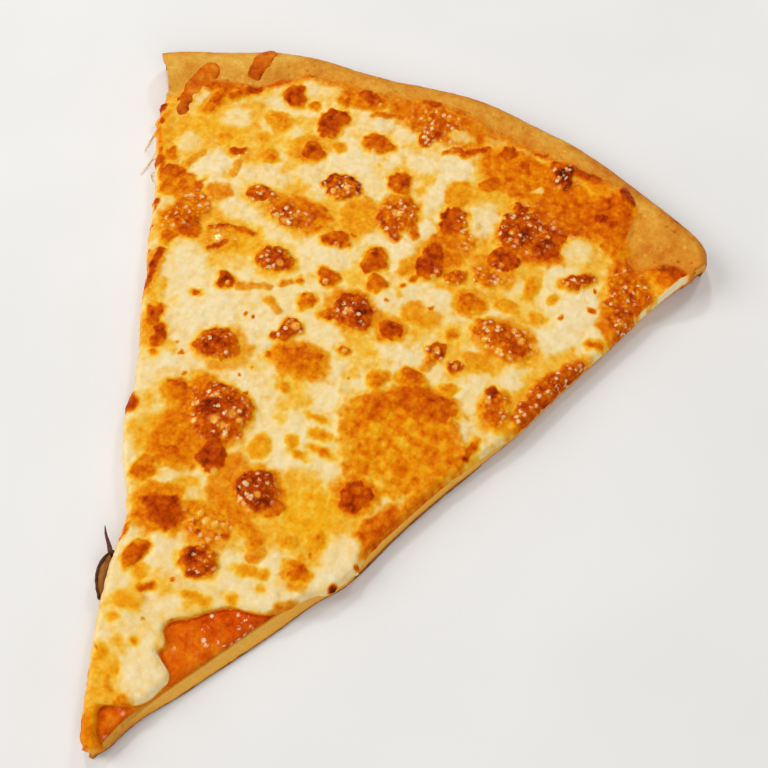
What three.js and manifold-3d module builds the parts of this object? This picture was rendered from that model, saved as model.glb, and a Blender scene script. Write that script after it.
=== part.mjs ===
// A slice of cheese pizza, one eighth of a round of 16 inches, flat on its dough.
// Millimetres, +Z up. The sizes below are read in the slice's own plan: x runs across it,
// y from the tip to the rim. The finished group is then moved so that its origin is at the
// middle of its footprint, on the surface that it lies on.
import * as THREE from "three";
import { mergeVertices } from "three/addons/utils/BufferGeometryUtils.js";
import Module from "manifold-3d";

const wasm = await Module();
wasm.setup();

// Heights
const DOUGH_TOP = 3.4; // flat dough under the toppings
const SAUCE_TOP = 4;
const CHEESE_TOP = 5.8; // mean level of the melted cheese
const RIM_HEIGHT = 9.2; // highest line of the baked rim
const RIM_WIDTH = 22; // where the dough begins to rise, measured in from the outer edge
const GAP = 0.3; // air between solids whose curved faces meet
const RIM_GAP = 0.6; // air between the cheese and the dough that rises under it
const SAUCE_INSET = 0.5; // from the sauce's border to the left cut and to the foot of the rim
const CHEESE_OVERHANG = 0.2; // past the left cut
const CHEESE_INSET = 0.5; // from the right cut
const CUT_TOP_IN = 0.3; // how far the top of each cut face leans in

// The dough's profile across the rim: distance in from the outer edge, share of RIM_HEIGHT
const RIM_PROFILE = [
  [0, 0.34], [0.5, 0.56], [1.2, 0.74], [2.4, 0.9], [4, 0.98], [6, 1], [9, 0.93],
  [12.5, 0.76], [16.5, 0.56], [20, 0.41], [RIM_WIDTH, DOUGH_TOP / RIM_HEIGHT],
];

// Outlines in plan. The two cut edges and the rim are smooth curves through these points.
const APEX = new THREE.Vector2(0.5, -8); // where the two cuts would meet, just past the blunt tip
const TIP_RADIUS = 8.3; // the tip's distance from the apex
const RIGHT_EDGE = [
  [1.7, 0.2], [2.8, 1.6], [3.9, 4.6], [5.8, 10], [13.6, 25], [22.6, 41], [28.6, 51], [33, 57],
  [35.4, 62], [39.4, 72.8], [46.1, 88.7], [51.2, 99], [57.2, 111.1], [63.1, 126.7],
  [71.4, 147.1], [75.4, 157.8], [79.4, 165.9], [83.5, 172.2], [85.8, 177.4],
];
// How far the foot of the right cut stands out past that outline, by y
const RIGHT_FOOT = [
  [1, 0], [10, 0.4], [18, 1.6], [26, 1.8], [40, 2.2], [52, 1.6], [62, 1.4], [78, 1], [95, 0.9],
  [104, 0.2], [128, 0], [150, -0.3], [166, -0.9],
];
const LEFT_EDGE = [
  [-0.6, 0.3], [-1.7, 1.3], [-3, 4], [-5.6, 9.6], [-10.4, 20.4], [-14.3, 30.2], [-16.9, 39.2],
  [-18.8, 48.2], [-21.6, 54], [-27.8, 62.5], [-33.2, 72.3], [-36.1, 81.8], [-41.5, 93.3],
  [-46.4, 102.3], [-50.6, 112.3], [-54.6, 119.4], [-60.8, 133.4], [-68.8, 148.4],
  [-74.2, 158.3], [-76.6, 167.3], [-81.1, 175.4], [-86.8, 181.2],
];
const RIM_EDGE = [
  [-86.8, 181.2], [-78.4, 185.9], [-65.3, 191.4], [-50.2, 197.9], [-40.2, 200.1], [-30.1, 200.4],
  [-20.1, 200.9], [-10, 202.9], [7, 204.4], [23, 203.2], [40.2, 200.4], [55.3, 195.6],
  [70.4, 189.1], [79.4, 185.2], [84, 181.8], [85.8, 177.4],
];
// The outer border of the cheese on the rim, and the right border of the sauce
const CHEESE_EDGE = [
  [-77.2, 169.4], [-65.6, 179.1], [-53.6, 183.1], [-45.6, 189.1], [-39.6, 192.6], [-21.6, 193.6],
  [-6.6, 197.1], [5.4, 197.6], [25.4, 194.1], [45.4, 192.8], [57.4, 191.4], [63.6, 187],
  [65.4, 178.5], [69.2, 171], [75.4, 173.4], [82.4, 171.5],
];
const SAUCE_EDGE = [
  [2.2, 3], [3.1, 6.5], [4.4, 10], [7.9, 16], [12, 23.3], [15.6, 29.8], [19, 35.6], [22.2, 41.6],
  [24.9, 46.5], [31.6, 56], [34.5, 61.5], [38.4, 73], [44.7, 89],
  [55.6, 111.5], [69.8, 147.5], [78.2, 165.5], [82, 171],
];
// A bay in the cheese by the right cut, where the sauce lies bare, closed well past the cut
const BARE_SAUCE = [
  [4.6, 0.2], [1.2, 2.8], [-0.6, 6], [-1.8, 9.2], [2.4, 11.2], [7, 13.8], [8.5, 17.6], [8.8, 21.4],
  [3.6, 24.6], [4.6, 26.9], [2.3, 29.6], [2.6, 32], [7.2, 35.4], [9.8, 38], [13.8, 40.7],
  [20.5, 42.2], [28, 48.6], [44, 36], [20, -6],
];

// Browned blisters: x, y, half length, half width, turn in degrees, rise over the cheese
const BLISTERS = [
  [-28.5, 178, 5, 5, 0, 1.1], [-41.5, 182.5, 3.8, 3.8, 0, 0.9], [-13.5, 177, 5, 4, 0, 0.8],
  [-28.5, 167, 3.8, 3.4, 0, 0.9], [-1, 167, 3.6, 3.8, 0, 0.8], [-15, 158.5, 6, 4, 0, 1],
  [4, 155, 5.5, 6.5, 0, 1.1], [-35, 146, 5.5, 3.6, 10, 0.8], [-23, 144.5, 8.5, 5, -15, 1.1],
  [4, 140.5, 4.2, 4.2, 0, 1], [-21, 129.5, 5.5, 4.8, 0, 1], [-38, 130, 4, 4.2, 0, 0.7],
  [-59, 141, 4.5, 5, 0, 0.7], [-49, 128, 5, 6, 0, 0.8], [5.5, 123.5, 8, 5.4, -10, 1.2],
  [16.5, 122.5, 3.8, 3.4, 0, 0.9], [32, 139, 4.2, 3.6, 0, 0.9], [45, 132, 8.5, 5.6, -10, 1.1],
  [49.5, 113.5, 4, 5.6, 15, 0.8], [-22.5, 99, 6, 5.6, 0, 1.2], [-1, 104.5, 8, 4.4, 0, 0.9],
  [-14, 83, 10.5, 7, -20, 1.4], [-10, 73, 5, 4, 0, 1], [6, 69, 6, 5.4, -15, 1.4],
  [-12, 54.5, 5.8, 4.8, 0, 1], [2, 47, 4.8, 4.4, 0, 1], [28, 77.5, 4.6, 4.2, 0, 0.9],
  [18, 146, 5.5, 7, 0, 1.1], [34, 156, 5, 5, 0, 1], [36, 168, 8.5, 6.5, 10, 1.3],
  [45, 164, 4.5, 6, 0, 0.9], [40, 186, 4.5, 6, 0, 1.2], [57, 179, 7, 4, -25, 0.9],
  [56.5, 157, 6, 3.6, 30, 0.8], [72, 160, 5, 10, 25, 0.7], [61, 124, 4, 14, -22, 0.6],
  [-44, 97, 3.4, 5.4, -20, 0.7], [18, 158.5, 4, 6.5, 0, 0.9],
];
const ORANGE_PATCH = [32, 95, 17, 16]; // a broad grainy swelling: x, y, half length, half width

// Two tongues of cheese that ran up the rim: plan points of the middle line, width, thickness
const TONGUES = [
  { name: "cheese_strip_left", width: 6, thick: 1.8,
    line: [
      [-67.6, 182.4], [-69.2, 176.7], [-70.8, 171.5], [-71, 167], [-69, 163.4], [-66.6, 161.2],
    ] },
  { name: "cheese_strip_right", width: 5.2, thick: 1.8,
    line: [[-54.8, 194.6], [-55.6, 189.2], [-56, 184.7], [-55.8, 180.4]] },
];
// The charred flake that stands against the left cut, and its thin spike: plan points. The
// flake leans outwards by `lean` for each millimetre of height, and the spike rises along its line.
const FLAKE = {
  line: [[-18.1, 41.6], [-18.3, 38.2], [-17.2, 34.4], [-15.2, 30.6]],
  height: 4.6, thick: 1.3, lean: 0.32,
};
const SPIKE = {
  line: [[-18.9, 40.4], [-20.2, 42], [-21.9, 43.8], [-23.1, 45.6]],
  radius: 0.6, start: 0.6 * FLAKE.height, rise: 2.7,
};

const COLOURS = {
  crust: 0xd9a050, sauce: 0xc4500f, cheese: 0xf0d48c, strip: 0xc06418, char: 0x5a3214,
};

// ---- curves -----------------------------------------------------------------------------

// A smooth function through [u, v] pairs in rising u, held level past both ends.
function through(pairs) {
  const slope = (i) => {
    const a = pairs[Math.max(i - 1, 0)], b = pairs[Math.min(i + 1, pairs.length - 1)];
    return (b[1] - a[1]) / (b[0] - a[0]);
  };
  return (u) => {
    if (u <= pairs[0][0]) return pairs[0][1];
    const k = pairs.findIndex(([at]) => at > u);
    if (k < 0) return pairs.at(-1)[1];
    const [u0, v0] = pairs[k - 1], [u1, v1] = pairs[k];
    const span = u1 - u0, f = (u - u0) / span;
    const rise0 = slope(k - 1) * span, rise1 = slope(k) * span;
    return v0 + f * (rise0 + f * (3 * (v1 - v0) - 2 * rise0 - rise1
      + f * (2 * (v0 - v1) + rise0 + rise1)));
  };
}

const radiusOf = ([x, y]) => Math.hypot(x - APEX.x, y - APEX.y);
const angleOf = ([x, y]) => Math.atan2(x - APEX.x, y - APEX.y);
const planPoint = (r, a) => [APEX.x + r * Math.sin(a), APEX.y + r * Math.cos(a)];

// A cut edge gives its angle at each radius, and a border along the rim its radius at each angle.
const angleAlong = (points) => through(points.map((p) => [radiusOf(p), angleOf(p)]));
const radiusAlong = (points) => through(points.map((p) => [angleOf(p), radiusOf(p)]));

const leftCut = angleAlong(LEFT_EDGE);
const rightCut = angleAlong(RIGHT_EDGE);
const sauceRight = angleAlong(SAUCE_EDGE);
const rimRadius = radiusAlong(RIM_EDGE);
const cheeseRadius = radiusAlong(CHEESE_EDGE);
const rimShare = through(RIM_PROFILE);
const rightFoot = through(RIGHT_FOOT);

// A stack of rows from the tip outwards. Each row runs from the left border to the right one
// in steps of about `cell`, so that the faces are of one size all over.
function planRows({ left, right, outer, inner = () => TIP_RADIUS, shares, cell }) {
  const point = (share, t) => {
    let a = 0, r = 0;
    for (let pass = 0; pass < 4; pass++) {
      r = inner(a) + (outer(a) - inner(a)) * share;
      a = left(r) + (right(r) - left(r)) * t;
    }
    return [r, a];
  };
  return shares.map((share) => {
    const [r0, a0] = point(share, 0), [r1, a1] = point(share, 1);
    const count = Math.max(2, Math.round(((a1 - a0) * (r0 + r1)) / 2 / cell));
    return Array.from({ length: count + 1 }, (_, i) => point(share, i / count));
  });
}

const evenShares = (count) => Array.from({ length: count + 1 }, (_, i) => i / count);

// ---- heights ----------------------------------------------------------------------------

const smoothstep = THREE.MathUtils.smoothstep;

// The dough's top over a plan point that is given by radius and angle.
function doughTop(r, a) {
  const inward = rimRadius(a) - r;
  const level = RIM_HEIGHT * rimShare(inward);
  const onRim = 1 - smoothstep(inward, RIM_WIDTH * 0.6, RIM_WIDTH);
  const uneven = 0.45 * Math.sin(17 * a + 1) + 0.3 * Math.sin(41 * a);
  return level + onRim * smoothstep(inward, 0, 3) * uneven;
}

// A soft mound with a level top, 1 at its middle and 0 at its border.
function mound(x, y, [cx, cy, long, wide, turn = 0]) {
  const c = Math.cos(THREE.MathUtils.degToRad(turn)), s = Math.sin(THREE.MathUtils.degToRad(turn));
  const u = ((x - cx) * c + (y - cy) * s) / long, v = ((y - cy) * c - (x - cx) * s) / wide;
  return 1 - smoothstep(Math.hypot(u, v), 0.35, 1.15);
}

// The melted cheese's top: a film over the dough, with blisters, slow waves and thin borders.
function cheeseTop(r, a) {
  const [x, y] = planPoint(r, a);
  const blister = Math.max(...BLISTERS.map((b) => b[5] * mound(x, y, b)));
  const patch = 0.5 * mound(x, y, ORANGE_PATCH) * (1 + 0.5 * Math.sin(1.9 * x) * Math.sin(1.7 * y));
  const waves = 0.3 * Math.sin(0.21 * x + 0.6) * Math.sin(0.17 * y)
    + 0.12 * Math.sin(0.5 * x) * Math.cos(0.4 * y);
  const border = Math.min(
    cheeseRadius(a) - r, (a - leftCut(r)) * r, (rightCut(r) - a) * r, r - TIP_RADIUS + 1.2);
  const onRim = 1 - smoothstep(rimRadius(a) - r, 4, RIM_WIDTH);
  const film = (CHEESE_TOP - DOUGH_TOP) * (1 - 0.3 * onRim)
    * (0.55 + 0.45 * smoothstep(border, -0.6, 3.2));
  return doughTop(r, a) + film + waves * smoothstep(border, 0, 4) + Math.max(blister, patch);
}

// ---- solids -----------------------------------------------------------------------------

// Triangles gathered corner by corner and closed into one manifold-3d solid.
class Skin {
  corners = [];
  tri(a, b, c) {
    this.corners.push(...a, ...b, ...c);
  }
  // The band between two polylines with any number of points each; `from` lies right of `to`
  // when one looks along them with the outside up.
  band(from, to) {
    let i = 0, j = 0;
    while (i < from.length - 1 || j < to.length - 1) {
      const nextFrom = (i + 1) / (from.length - 1), nextTo = (j + 1) / (to.length - 1);
      if (j === to.length - 1 || (i < from.length - 1 && nextFrom <= nextTo)) {
        this.tri(from[i], from[i + 1], to[j]);
        i++;
      } else {
        this.tri(from[i], to[j + 1], to[j]);
        j++;
      }
    }
  }
  // A lid over a stack of rows. Its first `plain` rows lie level, so that their ends suffice.
  lid(rows, faceUp, plain = rows.length - 1) {
    const used = rows.map((row, k) => (k > 0 && k < plain ? [row[0], row.at(-1)] : row));
    for (let k = 0; k < used.length - 1; k++)
      faceUp ? this.band(used[k], used[k + 1]) : this.band(used[k + 1], used[k]);
  }
  solid() {
    const soup = new THREE.BufferGeometry();
    soup.setAttribute("position", new THREE.Float32BufferAttribute(this.corners, 3));
    return solidOf(soup);
  }
}

function solidOf(geometry) {
  geometry.deleteAttribute("normal");
  geometry.deleteAttribute("uv");
  const merged = mergeVertices(geometry, 1e-4);
  return new wasm.Manifold(new wasm.Mesh({
    numProp: 3,
    vertProperties: merged.getAttribute("position").array,
    triVerts: new Uint32Array(merged.index.array),
  }));
}

function geometryOf(solid) {
  const mesh = solid.getMesh();
  const geometry = new THREE.BufferGeometry();
  geometry.setAttribute("position", new THREE.BufferAttribute(mesh.vertProperties, 3));
  geometry.setIndex(new THREE.BufferAttribute(mesh.triVerts, 1));
  geometry.computeVertexNormals();
  return geometry;
}

// The closed loop round a stack of rows: up the right border, back along the outer row,
// down the left border and along the tip.
const loopOf = (rows) => [
  ...rows.map((row) => row.at(-1)),
  ...rows.at(-1).slice(1, -1).reverse(),
  ...rows.map((row) => row[0]).reverse(),
  ...rows[0].slice(1, -1),
];

const pointAt = ([r, a], z) => [...planPoint(r, a), z];
const raised = (rows, height) => rows.map((row) => row.map((p) => pointAt(p, height(...p))));
const closed = (loop) => [...loop, loop[0]];

// A slab between two heights over a stack of rows, level underneath over its first `plain` rows.
function slab(rows, top, foot, plain = rows.length - 1) {
  const skin = new Skin();
  const upper = raised(rows, top), lower = raised(rows, foot);
  skin.lid(upper, true, 0);
  skin.band(closed(loopOf(lower)), closed(loopOf(upper)));
  skin.lid(lower, false, plain);
  return skin.solid();
}

// The cut faces, as distances drawn in from the outlines. The left foot is tucked in under the
// dough, and the right one mostly stands out.
const LEFT_FOOT_IN = 0.8;
const FOOT_TUCK = 0.3; // more at the very bottom
const BULGE = { height: 1.1, share: 0.7 }; // a line above the foot, and its share of the foot's draw
const RIM_FOOT_IN = 1.3; // the rim's foot, under its rounded outer edge

function footIn(r, a) {
  const [x, y] = planPoint(r, a);
  return x > 0 ? -rightFoot(y) : LEFT_FOOT_IN;
}

// The dough with its raised rim. Only the rim needs rows of points. The rest of its top is flat.
function makeCrust() {
  const rimStart = (a) => rimRadius(a) - RIM_WIDTH;
  const rimRows = planRows({
    left: leftCut, right: rightCut, inner: rimStart, outer: rimRadius, cell: 4.2,
    shares: RIM_PROFILE.map(([inward]) => 1 - inward / RIM_WIDTH).reverse(),
  });
  const flatRows = planRows({
    left: leftCut, right: rightCut, outer: rimStart, shares: evenShares(44), cell: Infinity,
  });
  const rows = [...flatRows.slice(0, -1), ...rimRows];

  // The rows with the points on the cuts drawn in sideways, and those at the rim drawn in too.
  const drawnIn = (side, rim, height) => rows.map((row) => row.map(([r, a], i) => {
    const turn = i === 0 ? 1 : i === row.length - 1 ? -1 : 0;
    const inward = rimRadius(a) - r;
    const at = [r - rim * (1 - smoothstep(inward, 0, 5)), a + (turn * side(r, a)) / r];
    return pointAt(at, height(r, a));
  }));
  const foot = drawnIn((r, a) => footIn(r, a) + FOOT_TUCK, RIM_FOOT_IN, () => 0);
  const bulge = drawnIn((r, a) => BULGE.share * footIn(r, a), 0, () => BULGE.height);
  const top = drawnIn(() => CUT_TOP_IN, 0, doughTop);

  const skin = new Skin();
  skin.lid(top, true, flatRows.length - 1);
  skin.band(closed(loopOf(foot)), closed(loopOf(bulge)));
  skin.band(closed(loopOf(bulge)), closed(loopOf(top)));
  skin.lid(foot, false);
  return skin.solid();
}

// The sauce: a thin level layer on the flat dough, out to both cuts.
function makeSauce() {
  const rows = planRows({
    left: (r) => leftCut(r) + SAUCE_INSET / r, right: sauceRight,
    outer: (a) => rimRadius(a) - RIM_WIDTH - SAUCE_INSET, inner: () => TIP_RADIUS + 2 * SAUCE_INSET,
    shares: evenShares(48), cell: 6,
  });
  return slab(rows, () => SAUCE_TOP, () => DOUGH_TOP);
}

// The outline that the bare sauce cuts out of the cheese, as tall as the slice.
function bareSauce() {
  const border = new THREE.Shape().setFromPoints(
    new THREE.SplineCurve(BARE_SAUCE.map((p) => new THREE.Vector2(...p))).getPoints(50));
  return solidOf(new THREE.ExtrudeGeometry(border, { depth: 2 * RIM_HEIGHT, bevelEnabled: false }));
}

// The melted cheese: level on the sauce, a gap above the dough where the rim rises. It hangs
// over the left cut a little.
function makeCheese() {
  const steps = 74, levelSteps = 62;
  const rows = planRows({
    left: (r) => leftCut(r) - CHEESE_OVERHANG / r, right: (r) => rightCut(r) - CHEESE_INSET / r,
    outer: cheeseRadius, inner: () => TIP_RADIUS + GAP, shares: evenShares(steps), cell: 2.7,
  });
  const underside = (r, a) => Math.max(SAUCE_TOP, doughTop(r, a) + RIM_GAP);
  return largestOf(slab(rows, cheeseTop, underside, levelSteps).subtract(bareSauce()));
}

const largestOf = (solid) => solid.decompose().sort((a, b) => b.volume() - a.volume())[0];

// A round-edged tongue along plan points, thinner at both ends, lying on what `level` gives.
function tongue(line, width, thick, level) {
  const curve = new THREE.SplineCurve(line.map((p) => new THREE.Vector2(...p)));
  const steps = 14, sides = 12;
  const rings = evenShares(steps).map((f) => {
    const at = curve.getPointAt(f), along = curve.getTangentAt(f);
    const full = Math.sqrt(Math.max(1 - Math.pow(Math.abs(2 * f - 1), 6), 0.02));
    return Array.from({ length: sides + 1 }, (_, k) => {
      const turn = (2 * Math.PI * (k % sides)) / sides;
      const off = (width / 2) * full * Math.cos(turn);
      const x = at.x - along.y * off, y = at.y + along.x * off;
      const lift = (thick / 2) * (full * Math.sin(turn) + 0.5);
      return [x, y, level(radiusOf([x, y]), angleOf([x, y])) + lift];
    });
  });
  const skin = new Skin();
  for (let k = 0; k < steps; k++) skin.band(rings[k], rings[k + 1]);
  for (const [ring, turned] of [[rings[0], true], [rings.at(-1), false]])
    for (let k = 1; k < sides - 1; k++)
      turned ? skin.tri(ring[0], ring[k + 1], ring[k]) : skin.tri(ring[0], ring[k], ring[k + 1]);
  return skin.solid();
}

// The surface that the tongues lie on: cheese where there is some, bread outside it. Past the
// rim they stand out level.
const surface = (r, a) =>
  r < cheeseRadius(a) ? cheeseTop(r, a) : doughTop(Math.min(r, rimRadius(a) - 2), a);

// What is left of a solid once it keeps the gap to another one on all sides.
function clearOf(solid, other) {
  const shifts = [[0, 0, 1], [0, 0, -1], [1, 0, 0], [-1, 0, 0], [0, 1, 0], [0, -1, 0]];
  return shifts.reduce(
    (rest, shift) => rest.subtract(other.translate(shift.map((step) => step * GAP))), solid);
}

// A tongue of cheese that keeps its gap to the solids it lies on.
function makeTongue({ line, width, thick }, crust, cheese) {
  return largestOf(clearOf(clearOf(tongue(line, width, thick, surface), crust), cheese));
}

// The flake: a thin curved plate on edge that leans outwards, its spike fused to it.
function makeFlake(crust) {
  const curve = new THREE.SplineCurve(FLAKE.line.map((p) => new THREE.Vector2(...p)));
  const steps = 12;
  const rings = evenShares(steps).map((f) => {
    const at = curve.getPointAt(f), along = curve.getTangentAt(f);
    const tall = FLAKE.height * (0.35 + 0.65 * Math.sin(Math.PI * (0.12 + 0.76 * f)));
    const half = (FLAKE.thick / 2) * (0.5 + 0.5 * Math.sin(Math.PI * f));
    const corner = (inwards, z) => {
      const off = inwards - FLAKE.lean * z;
      return [at.x - along.y * off, at.y + along.x * off, z];
    };
    return [
      corner(-half, 0), corner(half, 0), corner(half + 0.1, tall * 0.55), corner(half * 0.4, tall),
      corner(-half * 0.6, tall), corner(-half - 0.3, tall * 0.5), corner(-half, 0),
    ];
  });
  const skin = new Skin();
  for (let k = 0; k < steps; k++) skin.band(rings[k], rings[k + 1]);
  for (const [ring, turned] of [[rings[0], true], [rings.at(-1), false]])
    for (let k = 1; k < ring.length - 2; k++)
      turned ? skin.tri(ring[0], ring[k + 1], ring[k]) : skin.tri(ring[0], ring[k], ring[k + 1]);
  return largestOf(clearOf(skin.solid().add(makeSpike()), crust));
}

function makeSpike() {
  const path = new THREE.CatmullRomCurve3(
    SPIKE.line.map(([x, y], i, line) =>
      new THREE.Vector3(x, y, SPIKE.start + (SPIKE.rise * i) / (line.length - 1))));
  const section = new THREE.Shape().absarc(0, 0, SPIKE.radius, 0, 2 * Math.PI, false);
  const tube = new THREE.ExtrudeGeometry(section, { steps: 12, curveSegments: 6, extrudePath: path });
  return solidOf(tube);
}

// ---- the slice --------------------------------------------------------------------------

function named(name, solid, colour, roughness) {
  const material = new THREE.MeshStandardMaterial({ color: colour, roughness, metalness: 0 });
  const mesh = new THREE.Mesh(geometryOf(solid), material);
  mesh.name = name;
  return mesh;
}

const crust = makeCrust();
const cheese = makeCheese();
const group = new THREE.Group();
group.add(
  named("crust", crust, COLOURS.crust, 0.8),
  named("sauce", makeSauce(), COLOURS.sauce, 0.35),
  named("cheese", cheese, COLOURS.cheese, 0.4),
  ...TONGUES.map((t) => named(t.name, makeTongue(t, crust, cheese), COLOURS.strip, 0.45)),
  named("charred_flake", makeFlake(crust), COLOURS.char, 0.6),
);
const middle = new THREE.Box3().setFromObject(group).getCenter(new THREE.Vector3());
group.position.set(-middle.x, -middle.y, 0);

export default group;
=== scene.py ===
import math

import bpy
import numpy as np
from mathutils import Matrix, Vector


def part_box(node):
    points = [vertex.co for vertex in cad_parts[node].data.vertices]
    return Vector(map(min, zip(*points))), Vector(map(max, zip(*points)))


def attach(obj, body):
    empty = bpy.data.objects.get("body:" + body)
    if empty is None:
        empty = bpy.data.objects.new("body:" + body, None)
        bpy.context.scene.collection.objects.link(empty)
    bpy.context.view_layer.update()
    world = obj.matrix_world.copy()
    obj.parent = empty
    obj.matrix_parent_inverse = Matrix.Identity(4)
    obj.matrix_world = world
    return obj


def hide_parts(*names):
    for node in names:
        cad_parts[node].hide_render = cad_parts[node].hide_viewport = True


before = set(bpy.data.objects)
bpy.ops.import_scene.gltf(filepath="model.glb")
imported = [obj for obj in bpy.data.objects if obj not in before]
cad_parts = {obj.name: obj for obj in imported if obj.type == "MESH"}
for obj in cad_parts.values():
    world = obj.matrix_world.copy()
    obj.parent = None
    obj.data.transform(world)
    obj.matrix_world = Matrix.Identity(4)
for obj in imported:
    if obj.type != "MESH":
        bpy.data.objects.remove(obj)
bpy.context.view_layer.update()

# A slice of cheese pizza. Plan sizes are millimetres: x runs across the slice, y from the tip
# to the rim, z up from the surface that it lies on. MM turns them into metres at the end.
MM = 0.001

# ---- driving sizes, the same as the solids' ---------------------------------------------------
PLAN_LENGTH = 203.0  # from the tip to the rim
DOUGH_TOP = 3.4
SAUCE_TOP = 4.0
CHEESE_TOP = 5.8
RIM_HEIGHT = 9.2
RIM_WIDTH = 22.0
RIM_PROFILE = [
    (0, 0.34), (0.5, 0.56), (1.2, 0.74), (2.4, 0.9), (4, 0.98), (6, 1), (9, 0.93), (12.5, 0.76),
    (16.5, 0.56), (20, 0.41), (RIM_WIDTH, DOUGH_TOP / RIM_HEIGHT),
]
APEX = (0.5, -8.0)
TIP_RADIUS = 8.3
RIGHT_EDGE = [
    (1.7, 0.2), (2.8, 1.6), (3.9, 4.6), (5.8, 10), (13.6, 25), (22.6, 41), (28.6, 51), (33, 57),
    (35.4, 62), (39.4, 72.8), (46.1, 88.7), (51.2, 99), (57.2, 111.1), (63.1, 126.7), (71.4, 147.1),
    (75.4, 157.8), (79.4, 165.9), (83.5, 172.2), (85.8, 177.4),
]
# How far the foot of the right cut stands out past that outline, by y
RIGHT_FOOT = [
    (1, 0), (10, 0.4), (18, 1.6), (26, 1.8), (40, 2.2), (52, 1.6), (62, 1.4), (78, 1), (95, 0.9),
    (104, 0.2), (128, 0), (150, -0.3), (166, -0.9),
]
LEFT_EDGE = [
    (-0.6, 0.3), (-1.7, 1.3), (-3, 4), (-5.6, 9.6), (-10.4, 20.4), (-14.3, 30.2), (-16.9, 39.2),
    (-18.8, 48.2), (-21.6, 54), (-27.8, 62.5), (-33.2, 72.3), (-36.1, 81.8), (-41.5, 93.3),
    (-46.4, 102.3), (-50.6, 112.3), (-54.6, 119.4), (-60.8, 133.4), (-68.8, 148.4), (-74.2, 158.3),
    (-76.6, 167.3), (-81.1, 175.4), (-86.8, 181.2),
]
RIM_EDGE = [
    (-86.8, 181.2), (-78.4, 185.9), (-65.3, 191.4), (-50.2, 197.9), (-40.2, 200.1), (-30.1, 200.4),
    (-20.1, 200.9), (-10, 202.9), (7, 204.4), (23, 203.2), (40.2, 200.4), (55.3, 195.6),
    (70.4, 189.1), (79.4, 185.2), (84, 181.8), (85.8, 177.4),
]
CHEESE_EDGE = [
    (-77.2, 169.4), (-65.6, 179.1), (-53.6, 183.1), (-45.6, 189.1), (-39.6, 192.6), (-21.6, 193.6),
    (-6.6, 197.1), (5.4, 197.6), (25.4, 194.1), (45.4, 192.8), (57.4, 191.4), (63.6, 187),
    (65.4, 178.5), (69.2, 171), (75.4, 173.4), (82.4, 171.5),
]
SAUCE_EDGE = [
    (2.2, 3), (3.1, 6.5), (4.4, 10), (7.9, 16), (12, 23.3), (15.6, 29.8), (19, 35.6), (22.2, 41.6),
    (24.9, 46.5), (31.6, 56), (34.5, 61.5), (38.4, 73), (44.7, 89), (55.6, 111.5), (69.8, 147.5),
    (78.2, 165.5), (82, 171),
]
# The cheese's right border by the bare sauce, up to where it joins the cut. From y 14 to 21.4 it
# is up to 0.8 mm away from the solids' border, closer to the photo.
BARE_SAUCE = [
    (4.6, 0.2), (1.2, 2.8), (-0.6, 6), (-1.8, 9.2), (2.4, 11.2), (6.2, 14), (7.9, 17.8),
    (8.4, 21.4), (3.6, 24.6), (4.6, 26.9), (2.3, 29.6), (2.6, 32), (7.2, 35.4), (9.8, 38),
    (13.8, 40.7), (20.5, 42.2), (28, 48.6), (40, 62),
]
TONGUES = [
    dict(name="cheese_strip_left", widths=(7.0, 4.8),
         line=[(-67.6, 182.4), (-69.2, 176.7), (-70.8, 171.5), (-71, 167), (-69, 163.4),
               (-66.6, 161.2)]),
    dict(name="cheese_strip_right", widths=(5.2, 5.2),
         line=[(-54.8, 194.6), (-55.6, 189.2), (-56, 184.7), (-55.8, 180.4)]),
]
TONGUE_THICK = 0.45
FLAKE_LINE = [
    (-18.1, 41.6), (-18.3, 38.2), (-17.2, 34.4), (-15.2, 30.6),
]
FLAKE_HEIGHT = 4.6
FLAKE_LEAN = 0.32  # outwards for each millimetre of height
SPIKE_LINE = [
    (-18.9, 40.4), (-20.2, 42), (-21.9, 43.8), (-23.1, 45.6),
]

# ---- smaller sizes ----------------------------------------------------------------------------
LEAN_RIGHT, LEAN_LEFT = 0.3, 0.1  # how far in the tops of the cut faces lean
LEFT_FOOT_IN = 0.8  # how far the left cut's foot stands back
FOOT_TUCK = 0.3  # how far both cuts turn in at the very bottom
RIM_FOOT_IN = 1.3  # how far the rim's outer wall turns in towards its foot
RIM_LUMPS_UNTIL = 16.0  # how far in from the edge the rim is lumpy all over
CHEESE_OVER_LEFT, CHEESE_OVER_TIP = 0.5, 0.5  # how far the cheese stands out past the dough
CHEESE_SHORT_RIGHT = 0.15  # how far the cheese ends inside the right cut
CHEESE_OUT_RIGHT = 0.35  # and how far it comes out again from about y 104 on
BARE_STRIP = 0.15  # how much more dough shows along the right cut from y 64 to 95
BULGE_Y, BULGE_LENGTH, BULGE_OUT = 57.5, 6.0, 1.3  # where the cheese hangs over the right cut
CHEESE_SIDE_BULGE = 0.35  # how round the cheese's cut face is
CHEESE_IN_SAUCE = 0.25  # how deep the cheese sits in the sauce
CHEESE_LIP, SAUCE_LIP = 1.3, 1.2  # how wide the rounded borders are
SAUCE_IN_LEFT, SAUCE_IN_RIGHT, SAUCE_IN_TIP = 0.55, 0.35, 0.8  # how far inside the cuts it ends
SAUCE_ON_RIM = 4.0  # how far the sauce runs up the rim
SAUCE_IN_DOUGH = 0.2
NOTCH, NOTCH_SPREAD = (67, 178), 110  # where the cheese steps back at the rim's right end; mm, mm2
TONGUE_SINK = 1.3  # how deep a tongue melts into the cheese at its end
TONGUE_REST = 0.15  # how deep it lies in what it rests on
FLAKE_HALF_THICK = 0.32
SPIKE_RADIUS, SPIKE_RISE = 0.85, 2.7

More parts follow.
